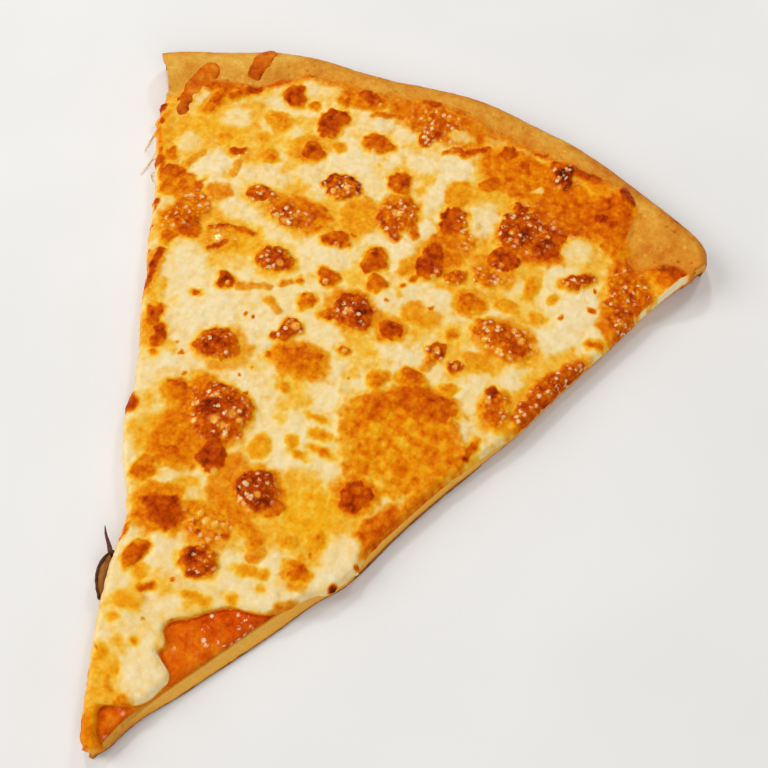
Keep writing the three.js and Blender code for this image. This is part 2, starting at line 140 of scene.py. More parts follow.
# Thin strands that hang from the left cut: x, y, z
STRINGS = [
    [(-74.2, 159.6, 3.2), (-76.2, 158, 0.5), (-76.1, 153.8, 0.32), (-75.7, 150.3, 0.32)],
    [(-71, 152.4, 3), (-72.2, 149.2, 0.4), (-72.2, 145.4, 0.32), (-72.4, 142.5, 0.32)],
    [(-66.6, 145.2, 2.6), (-69.4, 143.8, 0.4), (-68.4, 142.2, 0.32), (-66, 141, 0.32)],
]
STRING_RADIUS = 0.2

# How close together the points lie: rows from tip to rim, mm along a row, rings down the side
CHEESE_ROWS, CHEESE_CELL, CHEESE_LEVELS = 470, 0.43, 5
CRUST_FLAT_ROWS, CRUST_RIM_ROWS, CRUST_CELL, CRUST_LEVELS = 400, 70, 0.55, 11
SAUCE_ROWS, SAUCE_CELL = 280, 0.75

# Camera: where it stands and what it looks at, in the slice's own plan
CAMERA_AT = (73.6, -4.8, 247.1)
LOOK_AT = (19.8, 111.3, -1.8)
LENS_MM, SENSOR_MM = 50.0, 36.0
# Round lights aimed at the slice: name, place and size in metres, watts
LIGHTS = [
    ("softbox", (-1.1, -0.35, 0.85), 1.1, 12), ("fill", (0.85, -0.95, 1.0), 1.2, 8.8),
    ("glint", (-0.5, 0.66, 0.9), 0.15, 2.6), ("glint_low", (0.12, 0.85, 0.8), 0.15, 1.7),
]
SKY_STRENGTH = 0.26
FLOOR_HALF, FLOOR_CELLS = 900, 24  # mm, cells along a side

# What shows on the cheese is laid out as seen by the camera over a level plane at this height.
# A point above the plane shows this far off for each millimetre of height.
SEEN_HEIGHT = 6.2
SEEN_SHIFT = (-0.216, 0.466)

# ---- what the cheese shows --------------------------------------------------------------------
# Tones: 0.1 cream, 0.3 golden, 0.5 orange, 0.6 orange-brown, 0.75 brown, 0.95 nearly black.
# An oval is x, y, half length, half width and turn in degrees. Broad warm regions: oval, share
WARMTH = [
    (-60, 163, 24, 13, 25, 0.95), (-66, 176, 18, 9, 30, 1.0), (-35, 165, 16, 17, 0, 0.75),
    (-24, 147, 22, 10, -5, 0.95), (-44, 132, 22, 12, -15, 0.8), (-15, 184, 30, 10, 0, 0.6),
    (0, 165, 14, 20, 0, 0.6), (45, 176, 34, 16, -20, 1.0), (30, 150, 22, 14, 0, 0.75),
    (24, 163, 16, 16, 0, 0.75), (72, 160, 12, 22, 22, 0.95), (2, 130, 16, 18, 0, 0.55),
    (38, 128, 22, 14, 0, 0.65), (32, 96, 19, 18, 0, 1.0), (60, 122, 9, 20, -22, 0.9),
    (-20, 78, 16, 16, 0, 0.85), (-12, 57, 13, 11, 0, 0.75), (8, 62, 14, 12, 0, 0.8),
    (22, 68, 14, 14, 0, 0.9), (-4, 8, 8, 14, 10, 0.95), (-8, 22, 9, 14, 0, 0.6),
    (4, 40, 22, 9, 30, 0.5), (-52, 118, 9, 18, 22, 0.7), (-38, 96, 9, 12, 20, 0.6),
    (-2, 98, 12, 11, 0, 0.6), (12, 114, 12, 7, 0, 0.6), (44, 145, 14, 9, 0, 0.6),
    (-24, 84, 12, 8, 0, 0.7), (48, 105, 9, 14, 0, 0.5),
]
# Soft stains: oval, tone
STAINS = [
    (-22, 146, 10.5, 5.6, -5, 0.55), (-6.5, 152, 6.5, 7, 0, 0.43), (-51, 133, 5.4, 9, -30, 0.54),
    (-57, 141, 7, 4.6, -20, 0.52), (-46, 143, 4.4, 3.2, 0, 0.45), (30, 183, 15, 8, -10, 0.56),
    (44, 178, 14, 9, -15, 0.58), (50, 177, 7.5, 7, 0, 0.62), (40, 178, 5.5, 4.4, 0, 0.53),
    (57, 180, 9, 7.5, -35, 0.62), (62, 174, 5, 6, -30, 0.55), (0, 191, 17, 6, -3, 0.56),
    (-24, 190, 10, 4.2, 8, 0.54), (40, 164, 11, 7.6, 0, 0.6), (69.5, 160, 6.4, 13, 22, 0.58),
    (77, 169, 7, 5, -35, 0.6), (61, 122, 4.8, 14.5, -22, 0.66), (15.5, 170, 4, 6, 0, 0.43),
    (20, 154, 7, 12, -10, 0.52), (34, 151, 7, 6.5, 0, 0.48), (3, 157, 6.5, 7.5, 0, 0.5),
    (-18, 73, 8.5, 9.5, 0, 0.54), (-15, 82, 11.5, 9, -30, 0.58), (-12.5, 55, 8, 7.2, 0, 0.55),
    (-0.5, 56, 7, 6.6, 0, 0.47), (-2.5, 68.5, 4.2, 8, 0, 0.46), (6, 68, 7.4, 7, -10, 0.55),
    (36.3, 71, 3.8, 9.5, -22, 0.6), (43.5, 83, 3.6, 9, -24, 0.52), (34, 106, 10, 5.4, 0, 0.64),
    (23, 101, 4.5, 5, 0, 0.58), (28, 77, 6.4, 6, 0, 0.5), (-66, 149, 3, 8, 40, 0.36),
    (-72, 158, 2.4, 6, 20, 0.36), (-68, 178, 9, 3.2, 32, 0.52), (-1, 104.5, 8.6, 5.8, 0, 0.48),
    (-50, 112, 3.4, 9, 10, 0.42), (-40, 98, 4.4, 7.4, 25, 0.45), (5, 124, 8.4, 6.6, -10, 0.5),
    (45, 132, 9.6, 6.6, -6, 0.5), (50, 112.5, 5, 6.6, 10, 0.46), (-1, 4, 4.4, 6, 0, 0.5),
    (2.5, 10, 2.6, 4.5, 0, 0.5), (24, 54, 4.4, 4.4, 0, 0.4), (-25, 84, 5.4, 4.4, 0, 0.46),
    (-38, 130, 6, 6, 0, 0.42), (16.5, 122.5, 5, 4.8, 0, 0.45), (32, 139, 5.4, 4.8, 0, 0.42),
    (-30, 167, 6.5, 5.5, 0, 0.42), (12.5, 144, 3, 6, 0, 0.42), (41, 123, 5, 3.6, 0, 0.4),
    (52, 189, 9, 4, -20, 0.45), (68, 150, 4.4, 8, 22, 0.58), (-20, 100, 8, 7.5, 0, 0.36),
    (22, 130, 6, 4, 0, 0.4), (-2.5, 39, 9, 3, 15, 0.22), (-8, 31, 4, 6, 0, 0.3),
]
# Golden oil: oval, strength
GOLDEN = [
    (-74.5, 168.5, 2.4, 4.5, 0, 0.8), (-68, 152, 5, 9, 35, 0.8), (-60.5, 163, 8, 6, 0, 1),
    (-52, 162, 6, 5, 0, 1), (-41.5, 166, 5, 7.5, 0, 0.9), (-34, 169, 5, 8, 0, 0.85),
    (-31, 131.5, 5.5, 7, 0, 1), (-22, 129, 8, 7, 0, 1), (-7, 152, 7, 7, 0, 0.9),
    (15.5, 171, 4.4, 6.4, 0, 0.8), (20, 68, 10, 9.5, 0, 1), (21, 127, 8, 4, 0, 0.6),
    (32, 128, 6, 4.4, 0, 0.8), (13.5, 114.5, 4.6, 3.6, 0, 0.8), (0, 96.5, 6.5, 4.4, 0, 0.8),
    (-38, 106, 2.4, 1.8, 0, 0.6), (1.5, 134, 4.6, 5, 0, 0.8), (41, 123, 5.5, 4, 0, 0.8),
    (2, 88, 2.6, 2.6, 0, 0.7), (-31, 70, 3, 3, 0, 0.5), (-27, 78, 7.5, 8.5, 0, 0.5),
    (-8, 19, 3, 3, 0, 0.8), (-6, 15.5, 4, 3.4, 0, 0.8), (-1, 6, 4, 5, 0, 0.9),
    (12.5, 144, 3, 6, 0, 0.7), (32, 95, 17, 16, 0, 0.9), (46, 144, 9, 5, 0, 0.6),
    (24, 61, 5, 4, 0, 0.6), (70, 172, 4, 2.4, 0, 0.6), (5, 60, 9, 6, 0, 0.5),
    (-44, 134, 9, 7, -20, 0.5), (-30, 150, 14, 5, 0, 0.6), (34, 148, 9, 7, 0, 0.5),
    (8, 36, 6, 2, 40, 0.4), (-17, 118, 4, 2.4, 0, 0.5), (2, 110, 9, 4, 0, 0.3),
]
# Pale places that stay cream: oval, strength
PALE = [
    (-67, 172, 2.6, 3.2, 0, 0.9), (-54, 169, 4.6, 3.8, 20, 0.9), (-44.5, 169.5, 3.6, 1.4, -30, 0.8),
    (-36, 171, 2.6, 2.4, 0, 0.8), (-62.5, 155, 3.6, 3.8, 0, 0.8), (-52, 150.5, 4.4, 6, 10, 0.85),
    (-37, 152.5, 7.4, 3.8, 0, 0.9), (-57, 146, 1.8, 1.6, 0, 0.7), (-35, 189, 5.6, 3.2, -12, 0.7),
    (-17, 183, 6.4, 2.8, 0, 0.85), (-7, 182, 3.2, 3, 0, 0.8), (-6, 174, 2.3, 5, 0, 0.8),
    (-17.5, 167.5, 6.4, 4, 0, 0.85), (-26, 159, 4.2, 3.2, 0, 0.85), (-21, 154, 3.6, 3, 0, 0.6),
    (2, 175.5, 5.4, 3.4, 0, 0.9), (11, 178.5, 5.4, 4.4, 0, 0.95), (9.5, 166, 2.8, 6.6, 0, 0.95),
    (12, 156, 3, 3.2, 0, 0.8), (9, 147.5, 3.6, 4.2, 0, 0.85), (8, 188.5, 4.2, 2, 10, 0.7),
    (25, 165, 4.4, 6.4, 10, 0.85), (52, 166, 4.6, 4.6, 0, 0.85), (57, 149, 7.6, 7, 20, 1),
    (49.5, 155, 2.6, 5, 0, 0.8), (35.5, 180.5, 2.3, 0.9, 35, 0.8), (74.6, 154, 0.6, 2.6, -15, 0.7),
    (78.6, 165.3, 0.6, 4, -28, 0.9), (-38, 140, 7, 3, 5, 0.8), (-8, 135.5, 5, 3.6, 0, 0.8),
    (-58, 134.5, 2.2, 2, 0, 0.7), (-16, 62.5, 3.7, 2, 30, 0.85), (-8, 61, 2, 2.6, 0, 0.7),
    (31.5, 62, 4.4, 6, -10, 0.95), (30, 55, 4, 3, 0, 0.8), (11, 84, 7, 7, 0, 0.8),
    (-8, 93, 9, 4, 0, 0.8), (-30, 108, 9, 7, 0, 0.9), (-33, 88, 6, 5, 0, 0.7),
    (-14, 110, 5, 7, 0, 0.8), (20, 117, 5, 3, 0, 0.7), (24, 136, 3.6, 4, 0, 0.8),
    (11, 130, 3.6, 3, 0, 0.8), (44, 118, 4, 3, 0, 0.6), (50, 122, 3.4, 4, 0, 0.85),
    (44, 103, 3, 5, 10, 0.8), (3, 17, 5, 4.6, 20, 0.8), (-5, 28, 5.5, 4, 0, 0.75),
    (12, 46, 6, 2.6, 10, 0.7), (-29, 124, 6, 3, 0, 0.4), (-43, 120, 6, 6, 0, 0.8),
    (-34, 102, 6, 5, 0, 0.8), (19, 45, 5, 2.4, 20, 0.8), (-9, 47, 3, 3, 0, 0.7),
    (16.5, 54.5, 2.4, 3, 0, 0.6), (56, 137, 4.4, 4.4, 0, 0.7), (66, 141, 2.6, 5, 22, 0.7),
]
# Blisters: oval, tone, rise in mm
BLISTERS = [
    (-42, 182.5, 3.7, 3.7, 0, 0.7, 0.8), (-42, 184, 2.6, 1.4, 0, 0.8, 0.2),
    (-35, 182, 1.7, 1.7, 0, 0.58, 0.3), (-54, 180, 2.8, 2.2, 20, 0.76, 0.5),
    (-68, 177, 2.5, 1.5, 30, 0.7, 0.3), (-47.5, 158, 3, 1.5, 20, 0.74, 0.4),
    (-39, 160, 2.6, 3, 0, 0.5, 0.4), (-42, 173, 4.2, 3.2, 0, 0.47, 0.5),
    (-35, 147.2, 5, 2.8, 10, 0.64, 0.8), (-54, 161, 2, 1.8, 0, 0.47, 0.3),
    (-43.5, 165.5, 1.8, 1.5, 0, 0.46, 0.2), (-65, 149, 2, 2.6, 0, 0.6, 0.3),
    (-61, 143, 4, 3.4, 20, 0.66, 0.5), (-54, 141, 4, 2.8, 0, 0.6, 0.4),
    (-52.4, 144, 0.6, 1.6, -20, 0.58, 0.1), (-60, 139, 2.6, 3, 0, 0.6, 0.3),
    (-27.7, 178.5, 4.7, 5.2, 0, 0.76, 1.1), (-28.3, 178, 2.5, 2.6, 0, 0.86, 0.2),
    (-22, 171.5, 1.8, 1.8, 0, 0.5, 0.3), (-28.5, 166.8, 3.9, 3, 0, 0.72, 0.8),
    (-29, 167, 2, 1.6, 0, 0.84, 0.2), (-12.8, 177, 4.3, 3.8, 0, 0.66, 0.8),
    (-1, 167, 3.4, 3.8, 0, 0.69, 0.8), (-15, 158.5, 5.6, 3.8, 0, 0.66, 1),
    (3, 160, 4.8, 2.8, 0, 0.64, 0.6), (3, 155.6, 5, 5.6, 0, 0.6, 1),
    (-25, 143.6, 4.4, 3.4, 0, 0.68, 0.9), (-18.6, 147, 5, 3.8, 0, 0.6, 0.6),
    (-9, 142.5, 3.8, 2.9, 0, 0.7, 0.7), (-5, 145.5, 1, 0.9, 0, 0.56, 0.1),
    (17.6, 146, 4, 5.8, 0, 0.78, 1), (25.5, 144.5, 3.4, 2.4, 30, 0.6, 0.5),
    (18, 161, 3.2, 5.8, 0, 0.74, 0.9), (14.8, 162.6, 1, 2, 0, 0.92, 0.3),
    (15.1, 159, 0.9, 1.2, 0, 0.9, 0.2), (22, 177, 2.8, 3.2, 0, 0.66, 0.6),
    (1.5, 189, 3.3, 4.4, 0, 0.64, 0.8), (1.5, 186.5, 2, 1.3, 0, 0.8, 0.2),
    (-0.6, 184, 2.6, 2.2, 0, 0.7, 0.4), (-4, 196.5, 3, 2.2, 0, 0.74, 0.5),
    (5, 197, 4.4, 1.5, 0, 0.64, 0.4), (-21.5, 191, 4.1, 2.3, 0, 0.76, 0.7),
    (-27, 186.5, 2.4, 1.4, 10, 0.66, 0.4), (23, 189, 2.5, 2.9, 0, 0.74, 0.6),
    (29, 186.5, 2.5, 1.5, -40, 0.74, 0.5), (58.2, 188, 3.8, 2.2, -35, 0.84, 0.7),
    (53.5, 185, 1.7, 1.2, 0, 0.74, 0.3), (55.6, 184.4, 1.2, 1, 0, 0.7, 0.2),
    (40, 187, 2.7, 4.6, 0, 0.92, 1.1), (54.5, 178.5, 2.6, 1.9, 0, 0.84, 0.6),
    (57.4, 178, 2, 1.6, 0, 0.8, 0.4), (60, 182, 2.8, 2.3, 0, 0.7, 0.5),
    (63, 178, 1.8, 1.8, 0, 0.68, 0.4), (35.3, 166, 6, 6.6, 0, 0.76, 1.3),
    (44, 164, 3.4, 5.2, 0, 0.8, 0.9), (45, 169.4, 3.6, 3.6, 0, 0.72, 0.6),
    (33, 173, 2.6, 1.8, 0, 0.76, 0.4), (55.5, 156.6, 4.8, 2.5, 30, 0.72, 0.8),
    (35, 155.2, 4.2, 4.2, 0, 0.76, 0.9), (33.6, 152.5, 1.5, 1.2, 0, 0.88, 0.2),
    (36.5, 152.3, 1.3, 1.1, 0, 0.86, 0.2), (33, 148, 3.4, 2.9, 0, 0.6, 0.5),
    (45, 150, 1.8, 4.2, 0, 0.5, 0.3), (77, 171, 4.2, 3.2, 0, 0.8, 0.7),
    (70.5, 159, 1.2, 3, 15, 0.76, 0.4), (70.5, 152, 2.4, 3.8, 20, 0.7, 0.5),
    (66.5, 140.5, 2.4, 1.4, 20, 0.6, 0.3), (-48.3, 129.5, 4.4, 4.1, 0, 0.68, 0.6),
    (-51, 124, 2.4, 2.6, 0, 0.6, 0.3), (-21, 129.5, 5.2, 4.3, 0, 0.72, 1),
    (-42, 101, 2.3, 4, 10, 0.7, 0.6), (-37.5, 95.4, 2.3, 3.6, 25, 0.72, 0.6),
    (-36.5, 91, 1.2, 1, 0, 0.6, 0.2), (-30, 118, 2.7, 2.8, 0, 0.8, 0.6),
    (-35.3, 111.5, 1.4, 0.9, 0, 0.64, 0.1), (-7.5, 111.6, 3, 3.6, -30, 0.72, 0.8),
    (-10, 108.5, 1.4, 1.4, 0, 0.82, 0.4), (-5.5, 130.3, 3, 2.9, 0, 0.72, 0.7),
    (-12, 126.5, 1.3, 1.2, 0, 0.58, 0.2), (-7.5, 121.3, 2.7, 2.6, 0, 0.64, 0.5),
    (-22.3, 100, 5.5, 5.2, 0, 0.7, 1.2), (-23.3, 100.4, 2.2, 1.9, 0, 0.88, 0.2),
    (-24, 97, 2.4, 1.5, 0, 0.8, 0.1), (-1, 104.6, 7.2, 4.2, -5, 0.6, 0.9),
    (-9, 102.5, 1.3, 1.2, 0, 0.62, 0.2), (-1, 96.3, 2.2, 1.6, 0, 0.5, 0.2),
    (3.5, 140.4, 3.9, 3.9, 0, 0.7, 0.9), (3.6, 142, 2, 1.2, 0, 0.8, 0.1),
    (7, 134, 2.7, 2.6, 0, 0.66, 0.6), (5.4, 123.6, 6.3, 5, -10, 0.76, 1.2),
    (7.5, 124, 2, 1.5, 0, 0.9, 0.2), (1.2, 120.6, 3.4, 2.4, 20, 0.68, 0.5),
    (16.5, 122.5, 3.4, 3.1, 0, 0.74, 0.8), (21, 128.5, 4.2, 2.1, 0, 0.45, 0.3),
    (31.5, 128, 2, 1.9, 0, 0.5, 0.3), (32, 139, 3.7, 3.1, 0, 0.62, 0.8),
    (44.5, 131.8, 8, 5, -6, 0.66, 1), (41, 123, 3.2, 2.2, 0, 0.42, 0.2),
    (30, 122, 2.6, 2.4, 0, 0.7, 0.6), (36, 119.3, 2.1, 1.9, 0, 0.72, 0.5),
    (50, 112.5, 4, 5.2, 10, 0.58, 0.8), (47.6, 116.4, 1.9, 1.7, 0, 0.82, 0.4),
    (48.5, 100, 1.5, 3, -10, 0.68, 0.4), (48.5, 97, 1, 1, 0, 0.82, 0.1),
    (51, 97.5, 1, 1.4, 0, 0.6, 0.1), (19.5, 108, 2.9, 2.8, 0, 0.56, 0.5),
    (27, 112, 3.5, 2.9, 0, 0.62, 0.5), (37, 113, 2.5, 1.8, 20, 0.5, 0.3),
    (36, 107, 6.4, 2.8, 0, 0.68, 0.5), (24.5, 103.5, 3.4, 2.4, 0, 0.64, 0.4),
    (8, 112, 1.9, 1.8, 0, 0.66, 0.4), (13.7, 136.3, 0.9, 0.9, 0, 0.66, 0.2),
    (15.3, 139.8, 1.3, 1.2, 0, 0.66, 0.2), (41.5, 142, 3.2, 2, 0, 0.44, 0.3),
    (50, 142, 2.3, 1.9, 0, 0.42, 0.2), (51.5, 149, 1.4, 1.4, 0, 0.44, 0.1),
    (-12.4, 83.5, 8.8, 6.8, -25, 0.73, 1.4), (-15, 83, 3.2, 2.9, 0, 0.88, 0.3),
    (-25, 84, 3.7, 2.9, 0, 0.62, 0.5), (-8.5, 71.5, 4.4, 3.8, -10, 0.82, 0.9),
    (-17, 68.5, 3.4, 2.6, 0, 0.6, 0.4), (-22, 62, 2.7, 4, 0, 0.6, 0.5),
    (-12, 54.6, 5.3, 4.3, 0, 0.78, 1), (-3.8, 55, 1, 0.9, 0, 0.72, 0.2),
    (-2, 53.3, 0.9, 0.8, 0, 0.7, 0.2), (4.5, 54.8, 0.9, 0.9, 0, 0.7, 0.2),
    (5.5, 68.6, 5.3, 5, -15, 0.84, 1.4), (11.5, 66, 2.8, 2.4, 0, 0.66, 0.5),
    (2, 47, 4.6, 4.1, 0, 0.66, 1), (0, 48, 2, 2.2, 0, 0.82, 0.2),
    (2.3, 43.6, 2.4, 0.9, 0, 0.82, 0.1), (-13, 42.5, 2.4, 3.7, -10, 0.7, 0.6),
    (1, 79, 2.4, 3.4, 0, 0.42, 0.3), (7.5, 83.5, 1.8, 1.7, 0, 0.5, 0.3),
    (10.5, 81, 2.2, 1.1, 0, 0.5, 0.2), (13.5, 88, 3, 1.6, 0, 0.46, 0.2),
    (10.5, 91.7, 2.5, 0.8, 0, 0.5, 0.1), (16, 84, 3.4, 1.2, 0, 0.48, 0.2),
    (28.3, 76.6, 4.3, 4.1, 0, 0.78, 0.9), (19, 60, 2.2, 2.1, 0, 0.47, 0.3),
    (24, 54.3, 2.9, 2.9, 0, 0.6, 0.6), (24.5, 63, 2.4, 1.9, 0, 0.42, 0.2),
    (-6.5, 36.5, 2.5, 1.3, 30, 0.64, 0.3), (-2.7, 24, 1, 0.9, 0, 0.5, 0.2),
    (4, 39, 2, 0.9, 10, 0.45, 0.1), (7, 39, 1.9, 1.1, 0, 0.42, 0.1),
    (13, 42.4, 1, 0.8, 0, 0.42, 0.1), (-9, 31.5, 2.8, 1.7, 0, 0.4, 0.2),
    (-9.5, 39, 2, 1.5, 0, 0.4, 0.1), (-9.5, 27, 1.4, 0.9, 0, 0.42, 0.1),
    (-8, 19, 1.4, 1.8, 0, 0.45, 0.2), (-3, 17, 1.3, 1, 0, 0.4, 0.1),
    (13, 49.5, 2.8, 1.2, 10, 0.34, 0.2), (17, 50.5, 1.4, 1, 0, 0.34, 0.1),
    (18, 47.5, 0.7, 0.7, 0, 0.4, 0.1),
]
# Thin browned lines: plan points, half width, tone
STROKES = [
    ([(-59, 175), (-56.5, 177.5), (-54, 180)], 1.6, 0.64),
    ([(-54, 180), (-50, 184), (-46, 188.6)], 1.9, 0.64),
    ([(-46, 188.6), (-42, 191.5), (-37, 193.6)], 1.8, 0.58),
    ([(-61.8, 176.5), (-62.4, 172), (-63.2, 168.8)], 2.3, 0.62),
    ([(-66.5, 176.4), (-64, 178), (-58.7, 179.6), (-54.5, 180)], 2.4, 0.64),
    ([(-46, 155), (-45, 150)], 0.9, 0.42), ([(-57, 153.5), (-59, 147.5)], 1.0, 0.42),
    ([(-72.6, 156), (-68, 148.5), (-62.5, 140)], 0.7, 0.56), ([(-73, 162), (-73.8, 156)], 0.8, 0.5),
    ([(-20.3, 157.5), (-19, 161), (-15.5, 162.4), (-11.5, 161.6), (-9.8, 159)], 0.9, 0.86),
    ([(-1.5, 154), (0.5, 152.5), (3, 151), (6, 149.5)], 1.1, 0.72),
    ([(8.4, 155), (10, 152.5)], 1.2, 0.64), ([(-18, 186), (-10, 188.5)], 0.9, 0.58),
    ([(12.5, 185), (17, 188)], 1.1, 0.76), ([(6, 182), (9, 185), (12, 184)], 0.8, 0.64),
    ([(30, 191.5), (33, 193)], 0.8, 0.7), ([(36, 190.2), (42.5, 190.6), (48.5, 190)], 2.2, 0.7),
    ([(-42, 131), (-38, 134), (-31, 134.5)], 0.9, 0.66), ([(-36, 129), (-39, 125)], 0.9, 0.62),
    ([(-50.8, 119), (-48.5, 108)], 1.2, 0.78), ([(-26, 118), (-19, 121)], 0.8, 0.44),
    ([(-17, 117.5), (-13, 115.5)], 0.8, 0.42), ([(-14, 125), (-16, 123)], 0.6, 0.5),
    ([(29.5, 120), (29, 116)], 1.1, 0.5), ([(-1, 63), (5, 60.5), (12, 57), (13, 54)], 2.0, 0.52),
    ([(-35, 78), (-33.6, 74)], 0.7, 0.66), ([(-76.6, 165), (-75.6, 162.5)], 0.8, 0.8),
    ([(-73.8, 159.4), (-73.2, 158)], 0.6, 0.74), ([(-60.4, 133), (-59.6, 130.6)], 0.4, 0.66),
    ([(-18.2, 48), (-17.8, 44)], 0.4, 0.6), ([(-1.2, 12.4), (-3.8, 15)], 0.6, 0.46),
    ([(24, 45.4), (27, 47.4)], 0.4, 0.5),
]
# Pale hearts and single pale bubbles inside browned places, partly the cheese's own pale spots and
# partly painted highlights (glints) on wet tops: x, y, radius
PALE_HEARTS_AND_GLINTS = [
    (-12.5, 174, 0.8), (-13.5, 158.5, 1.0), (-16.5, 156, 0.9), (2.8, 156.5, 1.4),
    (-46.5, 156.3, 0.8), (-45, 158.5, 0.8), (-33.5, 143.6, 1.1), (-31.8, 145.4, 0.7),
    (-8, 140.5, 0.9), (20, 142, 0.8), (-1.5, 184.3, 0.8), (-2.5, 187, 0.6), (-2.5, 190.5, 0.6),
    (35.3, 153, 0.8), (-38.5, 129, 1.5), (-19, 128.5, 1.1), (-29, 117.5, 0.7), (-6.2, 112.8, 1.3),
    (-5.5, 128.6, 0.9), (4.5, 122.8, 1.0), (30, 121.6, 1.0), (36.1, 119.3, 0.8), (47.5, 113.6, 0.9),
    (8.3, 111.8, 0.8), (-9, 83.2, 1.2), (-6.5, 82.6, 0.8), (-12.5, 80.2, 1.3), (-9.6, 79.7, 0.9),
    (-17, 78, 0.8), (-15, 86.5, 0.8), (-18.5, 82.5, 0.8), (-5.8, 68.3, 1.0), (6.8, 67, 1.0),
    (5.2, 65.6, 0.6), (-1.5, 56.2, 1.0), (1, 56.5, 0.9), (3, 57, 0.7), (-3.6, 57.4, 0.7),
    (-17.5, 189.5, 0.7), (40, 189, 0.7), (39, 186, 0.7), (40, 183.6, 0.6), (40, 130, 0.9),
    (41.2, 128.4, 0.8), (44.5, 128, 0.9), (46, 135, 0.8), (48.5, 133, 0.9), (24.5, 162, 0.9),
    (26.5, 160, 0.8), (-27, 142, 0.9), (-24.5, 141.4, 0.9), (-22.5, 144.2, 0.7), (31.5, 170, 0.8),
    (34, 163.4, 0.8), (37.5, 168, 0.8), (36, 161.6, 0.7), (43.4, 166.6, 0.7), (57.4, 155, 0.8),
    (53.4, 154.8, 0.7), (5.6, 70.4, 0.6),
]
# Small browned specks: x, y, radius
SPECKS = [
    (-20, 111, 0.8), (-17.8, 111, 0.7), (-32.3, 96.3, 0.8), (-29.8, 93.8, 0.7), (-11, 97.5, 0.6),
    (-13, 94.7, 0.5), (-26, 89, 0.7), (-9, 90.3, 0.6), (12.5, 105, 0.6), (12, 130.5, 0.6),
    (23.5, 133.2, 0.8), (55.5, 144.8, 0.8), (62.3, 150, 1.2), (58, 170.5, 1.2), (61, 156.5, 0.7),
    (-1.5, 40.3, 0.6), (-3, 29.5, 0.5), (-9.5, 20, 0.6), (-46, 91, 0.6), (25.3, 59.3, 0.6),
    (-57, 125.5, 0.6), (-53.5, 118, 0.6),
]
# The grainy orange patch, an oval
GRAINY = (31.6, 95, 17.4, 15.4, -10)
# Ovals of bubbly skin with glints
BUBBLY = [
    (36, 167, 9, 8, 0), (45, 132, 8.6, 5.4, -8), (-15, 158.5, 5.6, 4, 0), (-35, 146, 6, 4.4, 0),
    (-24, 143.6, 6, 4, 0), (-12, 82.5, 9.4, 7, -25), (0, 56, 7, 4.4, 0), (56, 156, 6.4, 4, 30),
    (40, 187, 4, 5.4, 0), (0, 188, 9, 7, 0), (30, 121, 4, 3.6, 0), (37, 119, 3, 3, 0),
    (-22, 99, 5, 5, 0), (-38, 130, 6, 5.4, 0), (-21, 129.5, 5.4, 4.8, 0), (70, 156, 6, 12, 20),
    (25, 163, 6, 9, 0), (2, 47, 4.4, 4.2, 0), (50, 113, 3.8, 5.2, 15), (3, 156, 5.4, 6.4, 0),
    (61, 122, 4.6, 14, -22), (-7.5, 111.5, 3.4, 4, 0), (34, 147, 6, 5, 0), (6, 68, 5, 5, 0),
    (52, 166, 5, 5, 0), (25, 144, 5, 4, 0), (5, 123.5, 6, 5, 0), (-51, 134, 5, 8, -30),
]
# Browned bits that stand out past the cuts: x, y, reach outwards, half length along the cut, tone
EDGE_BITS = [
    (-76, 164, 1.0, 1.2, 0.84), (-73.4, 158.8, 0.7, 0.8, 0.74), (-72.6, 155, 0.9, 0.6, 0.4),
    (-67, 146, 0.3, 2, 0.66), (-60.3, 133, 0.4, 1.1, 0.7), (-34.5, 76, 0.5, 2.2, 0.74),
    (33.5, 54.2, 1.9, 1.2, 0.98), (35.9, 61.3, 0.8, 0.7, 0.66),
]

# ---- noise ------------------------------------------------------------------------------------


def lattice(ix, iy, seed):
    """A random number from 0 to 1 for each whole grid point."""
    h = (ix.astype(np.int64) * 374761393 + iy.astype(np.int64) * 668265263 + seed * 974634777)
    h = (h ^ (h >> 13)) * 1274126177 & 0x7FFFFFFF
    return ((h ^ (h >> 16)) & 0xFFFF) / 65535.0


def noise(x, y, size, seed):
    """Smooth noise from -1 to 1 with lumps of about `size` mm."""
    u, v = x / size, y / size
    iu, iv = np.floor(u), np.floor(v)
    fu, fv = u - iu, v - iv
    su, sv = (f * f * f * (f * (6 * f - 15) + 10) for f in (fu, fv))
    total = 0
    for du, wu in ((0, 1 - su), (1, su)):
        for dv, wv in ((0, 1 - sv), (1, sv)):
            turn = 2 * math.pi * lattice(iu + du, iv + dv, seed)
            total = total + wu * wv * (np.cos(turn) * (fu - du) + np.sin(turn) * (fv - dv))
    return total * 1.5


def layered(x, y, size, seed, layers=3):
    """Noise with finer noise on top."""
    return sum(noise(x, y, size / 2**k, seed + 17 * k) / 2**k for k in range(layers)) / 1.5


def lumpy(x, y, seed, *kinds):
    """Layers of noise over one another, each with its height and its size in mm."""
    return sum(height * layered(x, y, size, seed + k) for k, (height, size) in enumerate(kinds))


def bubbles(x, y, size, seed):
    """Round bubbles packed side by side: 1 at each one's middle, 0 at the creases between them."""
    iu, iv = np.floor(x / size), np.floor(y / size)
    nearest = np.full(np.shape(x), 9.0)
    for du in (-1, 0, 1):
        for dv in (-1, 0, 1):
            cu, cv = iu + du, iv + dv
            px = (cu + 0.15 + 0.7 * lattice(cu, cv, seed)) * size
            py = (cv + 0.15 + 0.7 * lattice(cu, cv, seed + 5)) * size
            reach = size * (0.45 + 0.45 * lattice(cu, cv, seed + 9))
            nearest = np.minimum(nearest, np.hypot(x - px, y - py) / reach)
    return np.sqrt(np.clip(1 - nearest**2, 0, 1))


def step(value, low, high):
    """0 below `low`, 1 above `high` and smooth between them."""
    f = np.clip((value - low) / (high - low), 0, 1)
    return f * f * (3 - 2 * f)


def fade(value, low, high):
    """1 below `low`, 0 above `high` and smooth between them."""
    return 1 - step(value, low, high)


